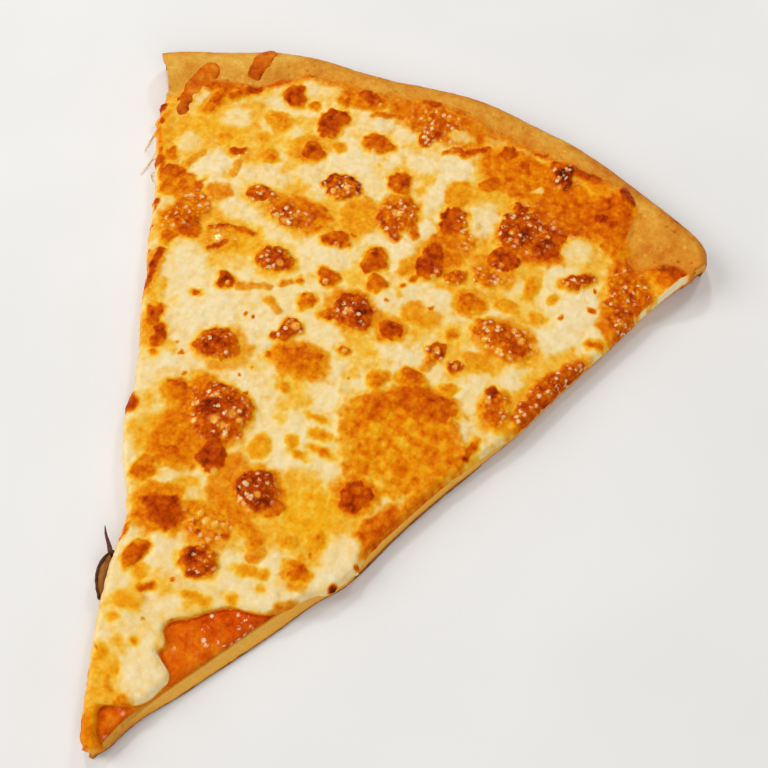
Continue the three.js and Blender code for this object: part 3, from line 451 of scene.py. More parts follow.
def rounded(gap, width):
    """The height of a rounded border, from 0 at the border to 1 from `width` inwards."""
    return np.sqrt(1 - (1 - np.clip(gap / width, 0, 1)) ** 2)


# ---- outlines ---------------------------------------------------------------------------------


def through(pairs):
    """A smooth function through (u, v) pairs in rising u, held level past both ends."""
    u, v = np.array(pairs, float).T
    index, last = np.arange(len(u)), len(u) - 1
    before, after = np.maximum(index - 1, 0), np.minimum(index + 1, last)
    slope = (v[after] - v[before]) / (u[after] - u[before])

    def at(q):
        q = np.clip(q, u[0], u[-1])
        k = np.clip(np.searchsorted(u, q, side="right") - 1, 0, last - 1)
        span = u[k + 1] - u[k]
        f = (q - u[k]) / span
        rise0, rise1 = slope[k] * span, slope[k + 1] * span
        return v[k] + f * (rise0 + f * (3 * (v[k + 1] - v[k]) - 2 * rise0 - rise1
                                        + f * (2 * (v[k] - v[k + 1]) + rise0 + rise1)))

    return at


def radius_of(x, y):
    return np.hypot(x - APEX[0], y - APEX[1])


def angle_of(x, y):
    return np.arctan2(x - APEX[0], y - APEX[1])


def plan_point(r, a):
    return APEX[0] + r * np.sin(a), APEX[1] + r * np.cos(a)


def angle_along(points):
    return through([(radius_of(x, y), angle_of(x, y)) for x, y in points])


def radius_along(points):
    return through([(angle_of(x, y), radius_of(x, y)) for x, y in points])


left_cut, right_cut = angle_along(LEFT_EDGE), angle_along(RIGHT_EDGE)
rim_radius, cheese_radius = radius_along(RIM_EDGE), radius_along(CHEESE_EDGE)
sauce_right, bay = angle_along(SAUCE_EDGE), angle_along(BARE_SAUCE)
rim_share, right_foot = through(RIM_PROFILE), through(RIGHT_FOOT)
BAY_END = radius_of(*BARE_SAUCE[-1])


def tip_radius(a):
    return np.full(np.shape(a), TIP_RADIUS)


def dough_top(r, a):
    inward = rim_radius(a) - r
    on_rim = fade(inward, RIM_WIDTH * 0.6, RIM_WIDTH)
    uneven = 0.45 * np.sin(17 * a + 1) + 0.3 * np.sin(41 * a)
    return RIM_HEIGHT * rim_share(inward) + on_rim * step(inward, 0, 3) * uneven


def bread_top(x, y, r, a):
    """The dough's top with the lumps of the rim."""
    inward = rim_radius(a) - r
    lumps = lumpy(x, y, 82, (0.26, 9), (0.12, 2.4), (0.06, 0.9))
    lumps = lumps * fade(inward, RIM_LUMPS_UNTIL, RIM_WIDTH)
    return dough_top(r, a) + lumps * step(inward, -0.5, 1.5)


def bread_bake(x, y, r, a):
    """How far the bread's top is browned, from 0 to 1."""
    inward = rim_radius(a) - r
    left_corner = 0.3 * fade(np.hypot(x + 86, y - 181), 0.5, 5)
    oiled = 0.1 * fade(np.abs(r - cheese_radius(a)), 1, 6) + 0.14 * step(x, 58, 74)
    patches = lumpy(x, y, 85, (0.16, 14), (0.16, 4))
    border = 0.36 * fade(inward + 0.5 * layered(x, y, 3, 87), 0.7, 1.9) + 0.1 * fade(inward, 2, 6)
    return np.clip(0.3 + oiled + patches + border + left_corner - 0.05 * fade(x, -62, -42), 0, 1)


def cheese_film(r, a):
    """The cheese's mean thickness over the dough. It thins out to nothing along the rim."""
    on_rim = fade(rim_radius(a) - r, 4, RIM_WIDTH)
    return (CHEESE_TOP - DOUGH_TOP) * (1 - 0.3 * on_rim) * step(cheese_radius(a) - r, 0.3, 6)


def lean(a):
    """How far the top of the cut face leans in."""
    return np.where(a > 0, LEAN_RIGHT, LEAN_LEFT)


def bits_out(y, right):
    """How far the browned bits stand out past the right or the left cut."""
    return sum(out * np.exp(-(((y - by) / half) ** 2))
               for bx, by, out, half, _ in EDGE_BITS if (bx > 0) == right)


def cheese_left(r):
    """The cheese's left border: past the cut, with its browned bits standing out."""
    x, y = plan_point(r, left_cut(r))
    return left_cut(r) + (-CHEESE_OVER_LEFT - bits_out(y, False) + 0.3 * layered(x, y, 2.6, 74)) / r


def cheese_right(r):
    """The right border: round the bare sauce, then past the cut in a bulge and just along it."""
    x, y = plan_point(r, right_cut(r))
    bulge = BULGE_OUT * np.exp(-(((y - BULGE_Y) / BULGE_LENGTH) ** 2))
    strip = BARE_STRIP * step(y, 62, 66) * fade(y, 92, 98)
    edge = right_cut(r) + (bulge + bits_out(y, True) - CHEESE_SHORT_RIGHT - strip
                           + CHEESE_OUT_RIGHT * step(y, 98, 110) + 0.25 * layered(x, y, 3, 75)) / r
    return np.where(r < BAY_END, np.minimum(bay(r), edge), edge)


# ---- grids of points ----------------------------------------------------------------------------


class Rows:
    """Rows of plan points from the tip outwards, each from the left border to the right one."""

    def __init__(self, left, right, outer, shares, cell, inner=tip_radius, ends_until=0):
        rest = float(outer(np.zeros(1))[0])

        def solve(share, t):
            r, a = np.zeros_like(share), np.zeros_like(share)
            late = step(share, 0.5, 1)  # the later a row, the more it follows the outer border
            for _ in range(8):
                reach = rest + (outer(a) - rest) * late
                r = inner(a) + (reach - inner(a)) * share
                a = left(r) + (right(r) - left(r)) * t
            return r, a

        r0, a0 = solve(shares, np.zeros_like(shares))
        r1, a1 = solve(shares, np.ones_like(shares))
        counts = np.maximum(2, np.rint((a1 - a0) * (r0 + r1) / 2 / cell)).astype(int) + 1
        counts[1:ends_until] = 2  # hidden rows keep their ends alone
        starts = np.concatenate([[0], np.cumsum(counts)])
        t = np.concatenate([np.linspace(0, 1, n) for n in counts])
        self.r, self.a = solve(np.repeat(shares, counts), t)
        self.x, self.y = plan_point(self.r, self.a)
        self.rows = rows = [list(range(k, k + n)) for k, n in zip(starts, counts)]
        # up the right border, back along the outer row, down the left border, along the tip
        self.loop = ([row[-1] for row in rows] + rows[-1][-2:0:-1]
                     + [row[0] for row in reversed(rows)] + rows[0][1:-1])

    def faces(self, levels):
        """Faces over the rows and down `levels` rings of points, and those of the underside."""
        count = len(self.loop)
        rings = [[len(self.x) + k * count + i for i in range(count)] for k in range(levels)]
        rings.append(self.loop)
        top = [face for near, far in zip(self.rows, self.rows[1:]) for face in band(near, far)]
        # the underside closes the lowest ring in bands between the two borders
        under = dict(zip(self.loop, rings[0]))
        last = len(self.rows) - 1
        ends = [[under[v] for v in (row if k in (0, last) else (row[0], row[-1]))]
                for k, row in enumerate(self.rows)]
        base = [face for near, far in zip(ends, ends[1:]) for face in band(far, near)]
        return top + walls(rings), base


def band(near, far):
    """Triangles between two lists of vertices with any number in each."""
    made, i, j = [], 0, 0
    last_i, last_j = len(near) - 1, len(far) - 1
    while i < last_i or j < last_j:
        if j == last_j or (i < last_i and (i + 1) * last_j <= (j + 1) * last_i):
            made.append((near[i], near[i + 1], far[j]))
            i += 1
        else:
            made.append((near[i], far[j + 1], far[j]))
            j += 1
    return made


def walls(rings):
    """Bands between closed rings of vertices, the lowest one first."""
    made = []
    for low, high in zip(rings, rings[1:]):
        made += band(low + low[:1], high + high[:1])
    return made


def tube(first, sides, rings):
    """Quads round a tube whose rings of points follow one another, closed at both ends."""
    faces = []
    for k in range(rings - 1):
        for j in range(sides):
            a, b = first + sides * k + j, first + sides * k + (j + 1) % sides
            faces.append((a, b, b + sides, a + sides))
    last = first + sides * (rings - 1)
    return faces + [tuple(range(first, first + sides))[::-1], tuple(range(last, last + sides))]


def distance_to_loop(x, y, loop_x, loop_y):
    """Distance of each point to the nearest loop point."""
    made = np.empty_like(x)
    chunk = 4000  # points at a time, to save memory
    for k in range(0, len(x), chunk):
        part = slice(k, k + chunk)
        gap = (x[part, None] - loop_x) ** 2 + (y[part, None] - loop_y) ** 2
        made[part] = np.sqrt(gap.min(1))
    return made


# ---- the cheese's looks as fields over the plan -------------------------------------------------


def warped(x, y, seed, reach=0.8):
    """The plan bent by noise, so that borders drawn on it come out ragged."""
    bend_x = 0.6 * noise(x, y, 4.1, seed) + 0.75 * noise(x, y, 2.1, seed + 1)
    bend_y = 0.6 * noise(x, y, 4.3, seed + 3) + 0.75 * noise(x, y, 2.0, seed + 4)
    return x + reach * bend_x, y + reach * bend_y


def ellipse(x, y, cx, cy, long, wide, turn):
    """Distance from an ellipse's middle in units of its own half sizes."""
    c, s = math.cos(math.radians(turn)), math.sin(math.radians(turn))
    return np.hypot(((x - cx) * c + (y - cy) * s) / long, ((y - cy) * c - (x - cx) * s) / wide)


def to_stroke(x, y, points):
    """Distance from a line through plan points."""
    nearest = np.full(np.shape(x), 99.0)
    for (x0, y0), (x1, y1) in zip(points, points[1:]):
        length2 = (x1 - x0) ** 2 + (y1 - y0) ** 2
        f = np.clip(((x - x0) * (x1 - x0) + (y - y0) * (y1 - y0)) / length2, 0, 1)
        nearest = np.minimum(nearest, np.hypot(x - x0 - f * (x1 - x0), y - y0 - f * (y1 - y0)))
    return nearest


def near_spot(x, y, oval, reach):
    """The points that an oval spot can touch."""
    cx, cy, long, wide, _ = oval
    size = max(long, wide) * reach + 4
    return np.flatnonzero((np.abs(x - cx) < size) & (np.abs(y - cy) < size))


def cheese_fields(x, y):
    """Tone, gold, bubbles, grain, shine and rise of the cheese at plan points."""
    wx, wy = warped(x, y, 3)
    warm = np.full_like(x, 0.3)
    for *oval, share in WARMTH:
        warm = np.maximum(warm, share * fade(ellipse(x, y, *oval), 0.6, 1.3))
    patchy = step(0.75 * layered(wx, wy, 8, 21) + 0.25 * layered(x, y, 2.4, 23)
                  + 1.1 * (warm - 0.62), -0.22, 0.3)
    tone = 0.12 + 0.04 * warm + 0.17 * patchy + 0.03 * layered(x, y, 5, 22)
    gold = 0.15 + 0.55 * patchy
    cream = 0.09 + 0.05 * warm
    rise = np.zeros_like(x)
    for *oval, depth in STAINS:
        k = near_spot(x, y, oval, 1.5)
        q = ellipse(wx[k], wy[k], *oval) + 0.16 * layered(x[k], y[k], 3.2, 31)
        tone[k] = np.maximum(tone[k], depth * fade(q, 0.7, 1.4))
        rise[k] = np.maximum(rise[k], 0.3 * fade(q, 0.5, 1.2))
    for *oval, strength in GOLDEN:
        k = near_spot(x, y, oval, 1.5)
        part = strength * fade(ellipse(wx[k], wy[k], *oval), 0.5, 1.35)
        gold[k] = np.maximum(gold[k], part)
        tone[k] = np.maximum(tone[k], 0.34 * part)
    for *oval, strength in PALE:
        k = near_spot(x, y, oval, 1.4)
        q = ellipse(wx[k], wy[k], *oval) + 0.2 * layered(x[k], y[k], 2.6, 35)
        keep = strength * fade(q, 0.66, 1.22)
        tone[k] += (cream[k] - tone[k]) * keep
        gold[k] *= 1 - 0.85 * keep
        rise[k] += 0.3 * keep
    for number, (*oval, depth, height) in enumerate(BLISTERS):
        cx, cy, long, wide, _ = oval
        small = min(long, wide)
        k = near_spot(x, y, oval, 1.5)
        around = np.arctan2(y[k] - cy, x[k] - cx)
        lobes = 0.1 * np.sin(2 * around + 1.7 * number) + 0.09 * np.sin(3 * around + 2.9 * number)
        q = (ellipse(wx[k], wy[k], *oval) * (1 + lobes * step(small, 1, 2.5))
             + 0.1 * layered(x[k], y[k], 2.2, 41))
        # softer by the rim's right end, where the rows of points are drawn apart
        blur = 0.75 if cx > 50 and cy > 150 else 0.42
        soft = np.clip((blur + 0.7 * step(0.62 - depth, 0, 0.16)) / small, 0.08, 0.6)
        core = fade(q, 1 - soft, 1 + soft)
        inner = 0.15 * layered(x[k] + 7 * number, y[k], 3.4, 43) * step(small, 1, 2.5)
        dark = depth * (0.88 + 0.12 * (1 - np.clip(q, 0, 1) ** 2)) + inner
        beyond = (q - 1) * small  # mm past the border
        halo = 0.4 * fade(beyond, -0.4, 1.3 + 0.12 * small)
        tone[k] = np.maximum(tone[k], np.maximum(dark * core, halo))
        gold[k] = np.maximum(gold[k], 0.8 * fade(beyond, 0, 1.8))
        dome = (1 - np.clip(q / 1.12, 0, 1) ** 2.6) ** 0.8
        rise[k] = np.maximum(rise[k], height * dome)
    for line, half, depth in STROKES:
        gap = to_stroke(wx, wy, line)
        core = fade(gap, half * 0.5, half * 1.4)
        tone = np.maximum(tone, np.maximum(depth * core, 0.4 * fade(gap, half, half + 1.3)))
        rise = np.maximum(rise, 0.35 * core)
    grainy = fade(ellipse(wx, wy, *GRAINY) + 0.3 * layered(x, y, 7, 51), 0.86, 1.08)
    lobes = step(layered(wx, wy, 7, 53, 2), -0.15, 0.1)
    tone = np.maximum(tone, (0.43 + 0.1 * lobes + 0.07 * layered(x, y, 5, 52)) * grainy)
    rise += 0.25 * grainy
    for cx, cy, size in SPECKS:
        tone = np.maximum(tone, 0.62 * fade(np.hypot(wx - cx, wy - cy), size * 0.5, size * 1.4))
    bubbly, shine = np.zeros_like(x), np.zeros_like(x)
    for oval in BUBBLY:
        bubbly = np.maximum(bubbly, fade(ellipse(wx, wy, *oval), 0.7, 1.25))
    # each heart is made pale, raised and glossy; its pale tone is partly the cheese's own colour
    # and partly a painted highlight
    for cx, cy, size in PALE_HEARTS_AND_GLINTS:
        heart_glint = fade(np.hypot(x - cx, y - cy), size * 0.5, size * 1.25)
        tone += (0.22 - tone) * 0.7 * heart_glint
        rise += 0.35 * heart_glint
        shine = np.maximum(shine, heart_glint)
    return dict(tone=tone, gold=np.clip(gold, 0, 1), rise=rise, bubbly=bubbly, grainy=grainy,
                shine=shine)


def cheese_relief(x, y, f):
    """The height that bubbles, grain and creases add. They change the tone too: tops paler and
    creases darker, as painted light and shade that follow the relief.
    """
    browned = step(f["tone"], 0.36, 0.62)
    soft = lumpy(x, y, 61, (0.26, 9), (0.18, 3.2))
    large, small = bubbles(x, y, 2.2, 63), bubbles(x, y, 1.3, 64)
    skin = (0.36 * large + 0.2 * small) * browned * (0.35 + 0.65 * f["bubbly"])
    crisp = 0.2 * layered(x, y, 1.9, 65) * browned
    kernels, mottle, dents = bubbles(x, y, 2.3, 66), layered(x, y, 2.4, 69), bubbles(x, y, 2.6, 68)
    grain = f["grainy"] * (0.26 * kernels + 0.1 * layered(x, y, 1.3, 67))
    dimples = 0.16 * dents * (1 - browned)
    # painted light and shade: bubble, kernel and dimple tops are made paler and the hollows between
    # them darker; the mottle terms are the cheese's own uneven colour
    f["tone"] = f["tone"] + (
        browned * (1 - 0.6 * f["grainy"]) * (0.06 - 0.13 * large + 0.12 * mottle)
        + 0.1 * f["grainy"] * (mottle - kernels + 0.5)
        + (1 - browned) * (0.05 * mottle + 0.04 - 0.05 * dents))
    return f["rise"] + soft * (1 - 0.4 * browned) + skin + crisp + grain + dimples


def tint_borders(f, x, y, r, a, rim_gap, notch):
    """The tones along the cheese's borders. `rim_gap` is the distance to its border on the rim."""
    # an orange tint along the border by the bare sauce, and browned bits at the cuts
    by_bay = (bay(r) - a) * r + 9 * step(y, 44, 52)
    tinted = 1 - step(y, 10, 12) * fade(y, 23, 26)
    orange = 0.48 * tinted * fade(by_bay + 0.5 * layered(x, y, 2, 76), 0, 1)
    f["tone"] = np.maximum(f["tone"], orange)
    for bx, by, _, half, depth in EDGE_BITS:
        browned = depth * fade(np.hypot(x - bx, y - by), 0.6 * half, 1.7 * half)
        f["tone"] = np.maximum(f["tone"], browned)
    # along the rim the cheese takes the bread's colour, but for its browned places
    loose = step(rim_gap, 0, 2.5)  # the border itself always has the bread's colour
    ragged = rim_gap - 0.8 * notch + loose * (1 + 1.5 * notch) * (
        0.9 * layered(x, y, 2.4, 77) + 0.7 * layered(x, y, 6, 79))
    f["tone"] = np.maximum(f["tone"], (0.38 + 0.12 * step(x, -50, -30)) * fade(ragged, 2, 7))
    f["bready"] = np.maximum(
        fade(ragged, 0.4, 3) * (1 - 0.9 * step(f["tone"], 0.52, 0.64)),
        fade((ragged + 0.9 * loose * layered(x, y, 1.2, 78)) / (1 + notch), 0, 1.6))
    # a thin ragged pale strip just inside the right cut by the rim
    by_cut = (cheese_right(r) - a) * r
    strip = step(y, 152, 156) * fade(y, 168, 171) * fade(by_cut, 0.4, 0.9)
    strip *= 0.25 + 0.75 * step(layered(x, y, 2.6, 80) + 0.2 * step(y, 158, 165), -0.18, 0.12)
    f["tone"] += (0.05 - f["tone"]) * strip
    f["gold"] *= 1 - strip


# ---- mesh building ------------------------------------------------------------------------------


box_low, box_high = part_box("crust")
rim_points = np.array([plan_point(rim_radius(a), a) for a in np.linspace(-0.43, 0.43, 900)])
SHIFT = (box_low.x / MM - LEFT_EDGE[-1][0], box_high.y / MM - rim_points[:, 1].max())


def xyz(x, y, z):
    return np.stack([x, y, z], -1)


def to_part(x, y, z):
    """Plan millimetres as metres in the part's frame."""
    return xyz((x + SHIFT[0]) * MM, (y + SHIFT[1]) * MM, z * MM)


def make_mesh(name, points, faces, flat_faces=(), **fields):
    """A smooth mesh object; `flat_faces` are added flat, and each field becomes an attribute."""
    mesh = bpy.data.meshes.new(name)
    mesh.from_pydata(points.tolist(), [], list(faces) + list(flat_faces))
    smooth = np.ones(len(mesh.polygons), bool)
    smooth[len(faces):] = False
    mesh.polygons.foreach_set("use_smooth", smooth)
    for field, values in fields.items():
        layer = mesh.attributes.new(field, "FLOAT", "POINT")
        layer.data.foreach_set("value", np.asarray(values, np.float32))
    mesh.update()
    made = bpy.data.objects.new(name, mesh)
    bpy.context.scene.collection.objects.link(made)
    return made


def make_piece(name, slot, nodes, points, *faces, **fields):
    """A piece that rides with the slice and stands for the solids' nodes.

    Its plan points come in parts, and so does each field's list of values.
    """
    fields = {field: np.concatenate(parts) for field, parts in fields.items()}
    piece = make_mesh(name, to_part(*np.concatenate(points).T), *faces, **fields)
    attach(piece, "root")
    if nodes:
        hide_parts(*nodes)
    return piece


# What the cheese's material reads besides the tone
CHEESE_LOOKS = ("gold", "shine", "bubbly", "grainy", "bready", "bake")


def make_cheese():
    rows = Rows(cheese_left, cheese_right, cheese_radius, np.linspace(0, 1, CHEESE_ROWS),
                CHEESE_CELL, inner=lambda a: tip_radius(a) - CHEESE_OVER_TIP)
    loop, a = rows.loop, rows.a
    # the film's border on the rim wanders in and out
    wander = lumpy(rows.x, rows.y, 71, (1.2, 5), (0.5, 1.8))
    r = rows.r + step(rows.r / cheese_radius(a), 0.93, 1.0) * wander
    x, y = plan_point(r, a)
    border = distance_to_loop(x, y, x[loop], y[loop])
    # two gaps to the border on the rim, along the radius and the shortest in the plan: they
    # differ where the border steps back
    outer_row = rows.rows[-1]
    rim_gap = cheese_radius(a) - rows.r
    rim_gap_plan = distance_to_loop(x, y, x[outer_row], y[outer_row])
    notch = np.exp(-((x - NOTCH[0]) ** 2 + (y - NOTCH[1]) ** 2) / NOTCH_SPREAD)
    thinned = step(rim_gap_plan / (1 + 3 * notch), -0.4, 2.5)
    film = cheese_film(rows.r, a) * thinned
    level = bread_top(x, y, r, a) + film
    seen = [at + shift * (level - SEEN_HEIGHT) for at, shift in zip((x, y), SEEN_SHIFT)]
    f = cheese_fields(*seen)
    f["bake"] = bread_bake(x, y, r, a)
    relief = cheese_relief(*seen, f)
    tint_borders(f, x, y, r, a, rim_gap_plan, notch)
    thin = step(rim_gap, 0.3, 6) * step(rim_gap_plan, 0, 4)
    top = (level - film * 0.65 * (1 - rounded(border, CHEESE_LIP)) - 0.3 * fade(rim_gap, 0, 0.9)
           + relief * (0.35 + 0.65 * step(border, 0, 2.2)) * (0.2 + 0.8 * thin * thinned))
    points = [xyz(x, y, top)]
    # the cut face: rings from the underside up to the top's border
    lx, ly, lz, la = x[loop], y[loop], top[loop], a[loop]
    over_tip = fade(ly, 0.6, 2.4)  # at the very tip it has run down over the dough
    foot = np.minimum(SAUCE_TOP - CHEESE_IN_SAUCE - 2.6 * over_tip, lz - 0.5)
    side_tones = []
    for k in range(CHEESE_LEVELS):
        s = k / CHEESE_LEVELS
        bulge = (CHEESE_SIDE_BULGE * math.sin(math.pi * min(s + 0.12, 1))
                 + 0.12 * layered(lx + 9 * s, ly - 7 * s, 1.4, 73))
        side = np.where(la > 0, 1, -1) * bulge
        points.append(xyz(lx + side * np.cos(la), ly - side * np.sin(la), foot + (lz - foot) * s))
        # the faces of the right cut are darker below their tops, and the face along the bare
        # sauce's border is darkened towards its foot as painted shade under the cheese's edge
        below = (la > 0) * np.maximum(0.62 * fade(s, 0.2, 0.7) * step(ly, 60, 66),
                                      0.78 * (1 - s) ** 0.7 * fade(ly, 42, 46))
        side_tones.append(np.maximum(f["tone"][loop], below))
    fields = {name: [f[name]] + [f[name][loop]] * CHEESE_LEVELS for name in CHEESE_LOOKS}
    return make_piece("cheese_melted", "cheese", ["cheese"], points, *rows.faces(CHEESE_LEVELS),
                      tone=[f["tone"]] + side_tones, **fields)


def make_crust():
    flat, rim = np.linspace(0, 1, CRUST_FLAT_ROWS), np.linspace(0, 1, CRUST_RIM_ROWS)

    def outer(a):
        return rim_radius(a) + 0.2 * layered(a * 200, a * 0, 6, 81)

    # even rows over the flat dough, then closer and closer ones towards the rim's edge
    start = 1 - RIM_WIDTH / PLAN_LENGTH
    shares = np.concatenate([flat[:-1] * start, start + (1 - start) * (1 - (1 - rim) ** 1.35)])
    rows = Rows(left_cut, right_cut, outer, shares, CRUST_CELL, ends_until=len(flat) - 3)
    loop, r, a = rows.loop, rows.r, rows.a
    top = bread_top(rows.x, rows.y, r, a)
    bake = [bread_bake(rows.x, rows.y, r, a)]
    sides = np.array([row[k] for row in rows.rows for k in (0, -1)])
    tilt = np.zeros(len(r))
    tilt[sides] = np.where(a[sides] < 0, 1, -1)
    tilt = tilt * lean(a)
    points = [xyz(rows.x + tilt * np.cos(a), rows.y - tilt * np.sin(a), top)]
    crumb, under = [np.zeros(len(r))], [np.zeros(len(r))]
    # the cut faces and the rim's outer wall: rings from the underside up to the top's border
    lr, la, lt = r[loop], a[loop], top[loop]
    is_cut = np.isin(loop, sides).astype(float)
    side = np.where(is_cut > 0, np.where(la < 0, 1, -1), 0)
    foot_x, foot_y = plan_point(lr, la)
    foot_in = np.where(la > 0, -right_foot(foot_y), LEFT_FOOT_IN)
    for k in range(CRUST_LEVELS):
        s = k / CRUST_LEVELS
        tucked = FOOT_TUCK * fade(s, 0, 0.15)
        drawn = (foot_in * fade(s, 0, 0.9) + tucked + lean(la) * step(s, 0.1, 1.0)) * is_cut
        rough = (lumpy(foot_x + 31 * s, foot_y + 17 * s, 87, (0.18, 2.6), (0.08, 0.9))
                 * is_cut * math.sin(math.pi * min(1, s + 0.1)))
        pulled = RIM_FOOT_IN * fade(s, 0, 0.5) + 0.1 * noise(foot_x + 9 * s, foot_y, 3, 89)
        pulled = pulled * (1 - is_cut)
        points.append(xyz(*plan_point(lr - pulled, la + side * (drawn + rough) / lr), lt * s))
        by_strip = step(foot_y, 58, 64) * fade(foot_y, 94, 104) * (la > 0)
        crust_skin = fade(s, 0.12, 0.3 + 0.25 * by_strip)
        # the underside's skin is really browned; the gradient that darkens the cut faces towards
        # their foot and keeps their top edge lighter is painted light
        browned = (0.62 * crust_skin + 0.18 * fade(s, 0.15, 0.75) + 0.4 * fade(foot_y, 5, 20)
                   + 0.3 * step(foot_y, 168, 174))
        outside = 0.58 - 0.1 * s + 0.16 * layered(foot_x, foot_y, 8, 90, 4)
        bake.append(np.where(is_cut > 0, 0.2 + browned, outside))
        crumb.append(is_cut * (1 - crust_skin))
        under.append(np.full(len(loop), fade(s, 0, 0.1)))
    return make_piece("crust_baked", "crust", ["crust"], points, *rows.faces(CRUST_LEVELS),
                      bake=bake, crumb=crumb, under=under)


def make_sauce():
    def right(r):
        a = right_cut(r)
        return np.minimum(sauce_right(r), a - (lean(a) + SAUCE_IN_RIGHT) / r)

    rows = Rows(lambda r: left_cut(r) + SAUCE_IN_LEFT / r, right,
                lambda a: rim_radius(a) - RIM_WIDTH + SAUCE_ON_RIM, np.linspace(0, 1, SAUCE_ROWS),
                SAUCE_CELL, inner=lambda a: tip_radius(a) + SAUCE_IN_TIP)
    loop, x, y = rows.loop, rows.x, rows.y
    border = distance_to_loop(x, y, x[loop], y[loop])
    bare = fade((bay(rows.r) - rows.a) * rows.r, -1.5, 1.0)
    lumps = lumpy(x, y, 91, (0.36, 3.4), (0.16, 1.3)) + 0.34 * bubbles(x, y, 2, 93)
    top = (DOUGH_TOP + (SAUCE_TOP - DOUGH_TOP) * (0.3 + 0.7 * rounded(border, SAUCE_LIP))
           + bare * (0.2 + lumps) * step(border, 0, 1.5))
    foot = np.full(len(loop), DOUGH_TOP - SAUCE_IN_DOUGH)
    deep = np.clip(0.4 + 0.4 * layered(x, y, 4, 94) + 0.2 * layered(x, y, 1.4, 95)
                   + 0.25 * step(y, 30, 38), 0, 1)
    # where the sauce is wet it gets glossy, and painted glint highlights in its colour
    wet = fade(ellipse(x, y, 14.5, 36.5, 6, 4.4, 45), 0.8, 1.5)
    shine = np.maximum(wet, 0.5 * step(layered(x, y, 4, 96), 0.2, 0.5))
    points = [xyz(x, y, top), xyz(x[loop], y[loop], foot)]
    return make_piece("sauce_layer", "sauce", ["sauce"], points, *rows.faces(1),
                      deep=[deep, deep[loop]], shine=[shine, shine[loop]])


# ---- materials ----------------------------------------------------------------------------------


def linear(red, green, blue):
    """A colour given as it shows on a screen, 0 to 255, for a shader."""
    def one(value):
        value /= 255
        return value / 12.92 if value <= 0.04045 else ((value + 0.055) / 1.055) ** 2.4
    return one(red), one(green), one(blue), 1.0


class Nodes:
    """A node material that is put together in a few short calls."""

    def __init__(self, name):
        self.material = bpy.data.materials.new(name)
        self.material.use_nodes = True
        self.tree = self.material.node_tree
        self.shader = self.tree.nodes["Principled BSDF"]
        self.place = self.new("ShaderNodeTexCoord").outputs["Object"]

    def new(self, kind, **values):
        node = self.tree.nodes.new(kind)
        for key, value in values.items():
            setattr(node, key, value)
        return node

    def join(self, value, socket):
        if isinstance(value, bpy.types.NodeSocket):
            self.tree.links.new(value, socket)
        else:
            socket.default_value = value

    def fields(self, *names):
        nodes = [self.new("ShaderNodeAttribute", attribute_name=name) for name in names]
        return [node.outputs["Fac"] for node in nodes]

    def math(self, operation, a, b):
        node = self.new("ShaderNodeMath", operation=operation)
        self.join(a, node.inputs[0])
        self.join(b, node.inputs[1])
        return node.outputs[0]

    def plus(self, a, b):
        return self.math("ADD", a, b)

    def times(self, a, b):
        return self.math("MULTIPLY", a, b)

    def larger(self, a, b):
        return self.math("MAXIMUM", a, b)

    def noise(self, size_mm, detail=2.0, rough=0.5):
        node = self.new("ShaderNodeTexNoise")
        self.join(self.place, node.inputs["Vector"])
        node.inputs["Scale"].default_value = 1 / (size_mm * MM)
        node.inputs["Detail"].default_value = detail
        node.inputs["Roughness"].default_value = rough
        return node.outputs["Fac"]

    def mottle(self, reach, size_mm, detail=2.0, rough=0.5):
        """Noise about zero, up and down by about half the reach."""
        return self.times(self.math("SUBTRACT", self.noise(size_mm, detail, rough), 0.5), reach)

    def cells(self, size_mm):
        node = self.new("ShaderNodeTexVoronoi")
        self.join(self.place, node.inputs["Vector"])
        node.inputs["Scale"].default_value = 1 / (size_mm * MM)
        return node.outputs["Distance"]

    def glints(self, size_mm, where):
        """Small ragged light dots for glints, a few to each group, where a mask lets them. The
        materials mix them into the colour as painted highlights.
        """
        apart = self.plus(self.cells(size_mm), self.times(self.noise(0.45), 0.4))
        dots = self.remap(apart, 0.58, 0.42)
        chosen = self.remap(self.noise(2.4), 0.42, 0.5)
        return self.times(dots, self.times(chosen, where))

    def ramp(self, value, *stops):
        """Screen colours at positions from 0 to 1, blended between them."""
        node = self.new("ShaderNodeValToRGB")
        self.join(value, node.inputs["Fac"])
        elements = node.color_ramp.elements
        stops = [(position, linear(*colour)) for position, colour in stops]
        elements[0].position, elements[0].color = stops[0]
        elements[1].position, elements[1].color = stops[-1]
        for position, colour in stops[1:-1]:
            elements.new(position).color = colour
        return node.outputs["Color"]

    def mix(self, factor, a, b):
        node = self.new("ShaderNodeMix", data_type="RGBA")
        for value, socket in ((factor, 0), (a, 6), (b, 7)):
            self.join(value, node.inputs[socket])
        return node.outputs[2]

    def remap(self, value, low, high, to_low=0.0, to_high=1.0):
        node = self.new("ShaderNodeMapRange")
        self.join(value, node.inputs[0])
        for socket, number in zip(node.inputs[1:5], (low, high, to_low, to_high)):
            socket.default_value = number
        return node.outputs[0]

    def bump(self, height, distance_mm):
        node = self.new("ShaderNodeBump")
        node.inputs["Strength"].default_value = 1.0
        node.inputs["Distance"].default_value = distance_mm * MM
        self.join(height, node.inputs["Height"])
        self.join(node.outputs["Normal"], self.shader.inputs["Normal"])

    def finish(self, colour, roughness, specular, oily=True):
        self.join(colour, self.shader.inputs["Base Color"])
        self.join(roughness, self.shader.inputs["Roughness"])
        self.join(specular, self.shader.inputs["Specular IOR Level"])
        if oily:
            self.shader.inputs["Specular Tint"].default_value = OIL_TINT
        return self.material


OIL_TINT = (1.0, 0.88, 0.62, 1.0)
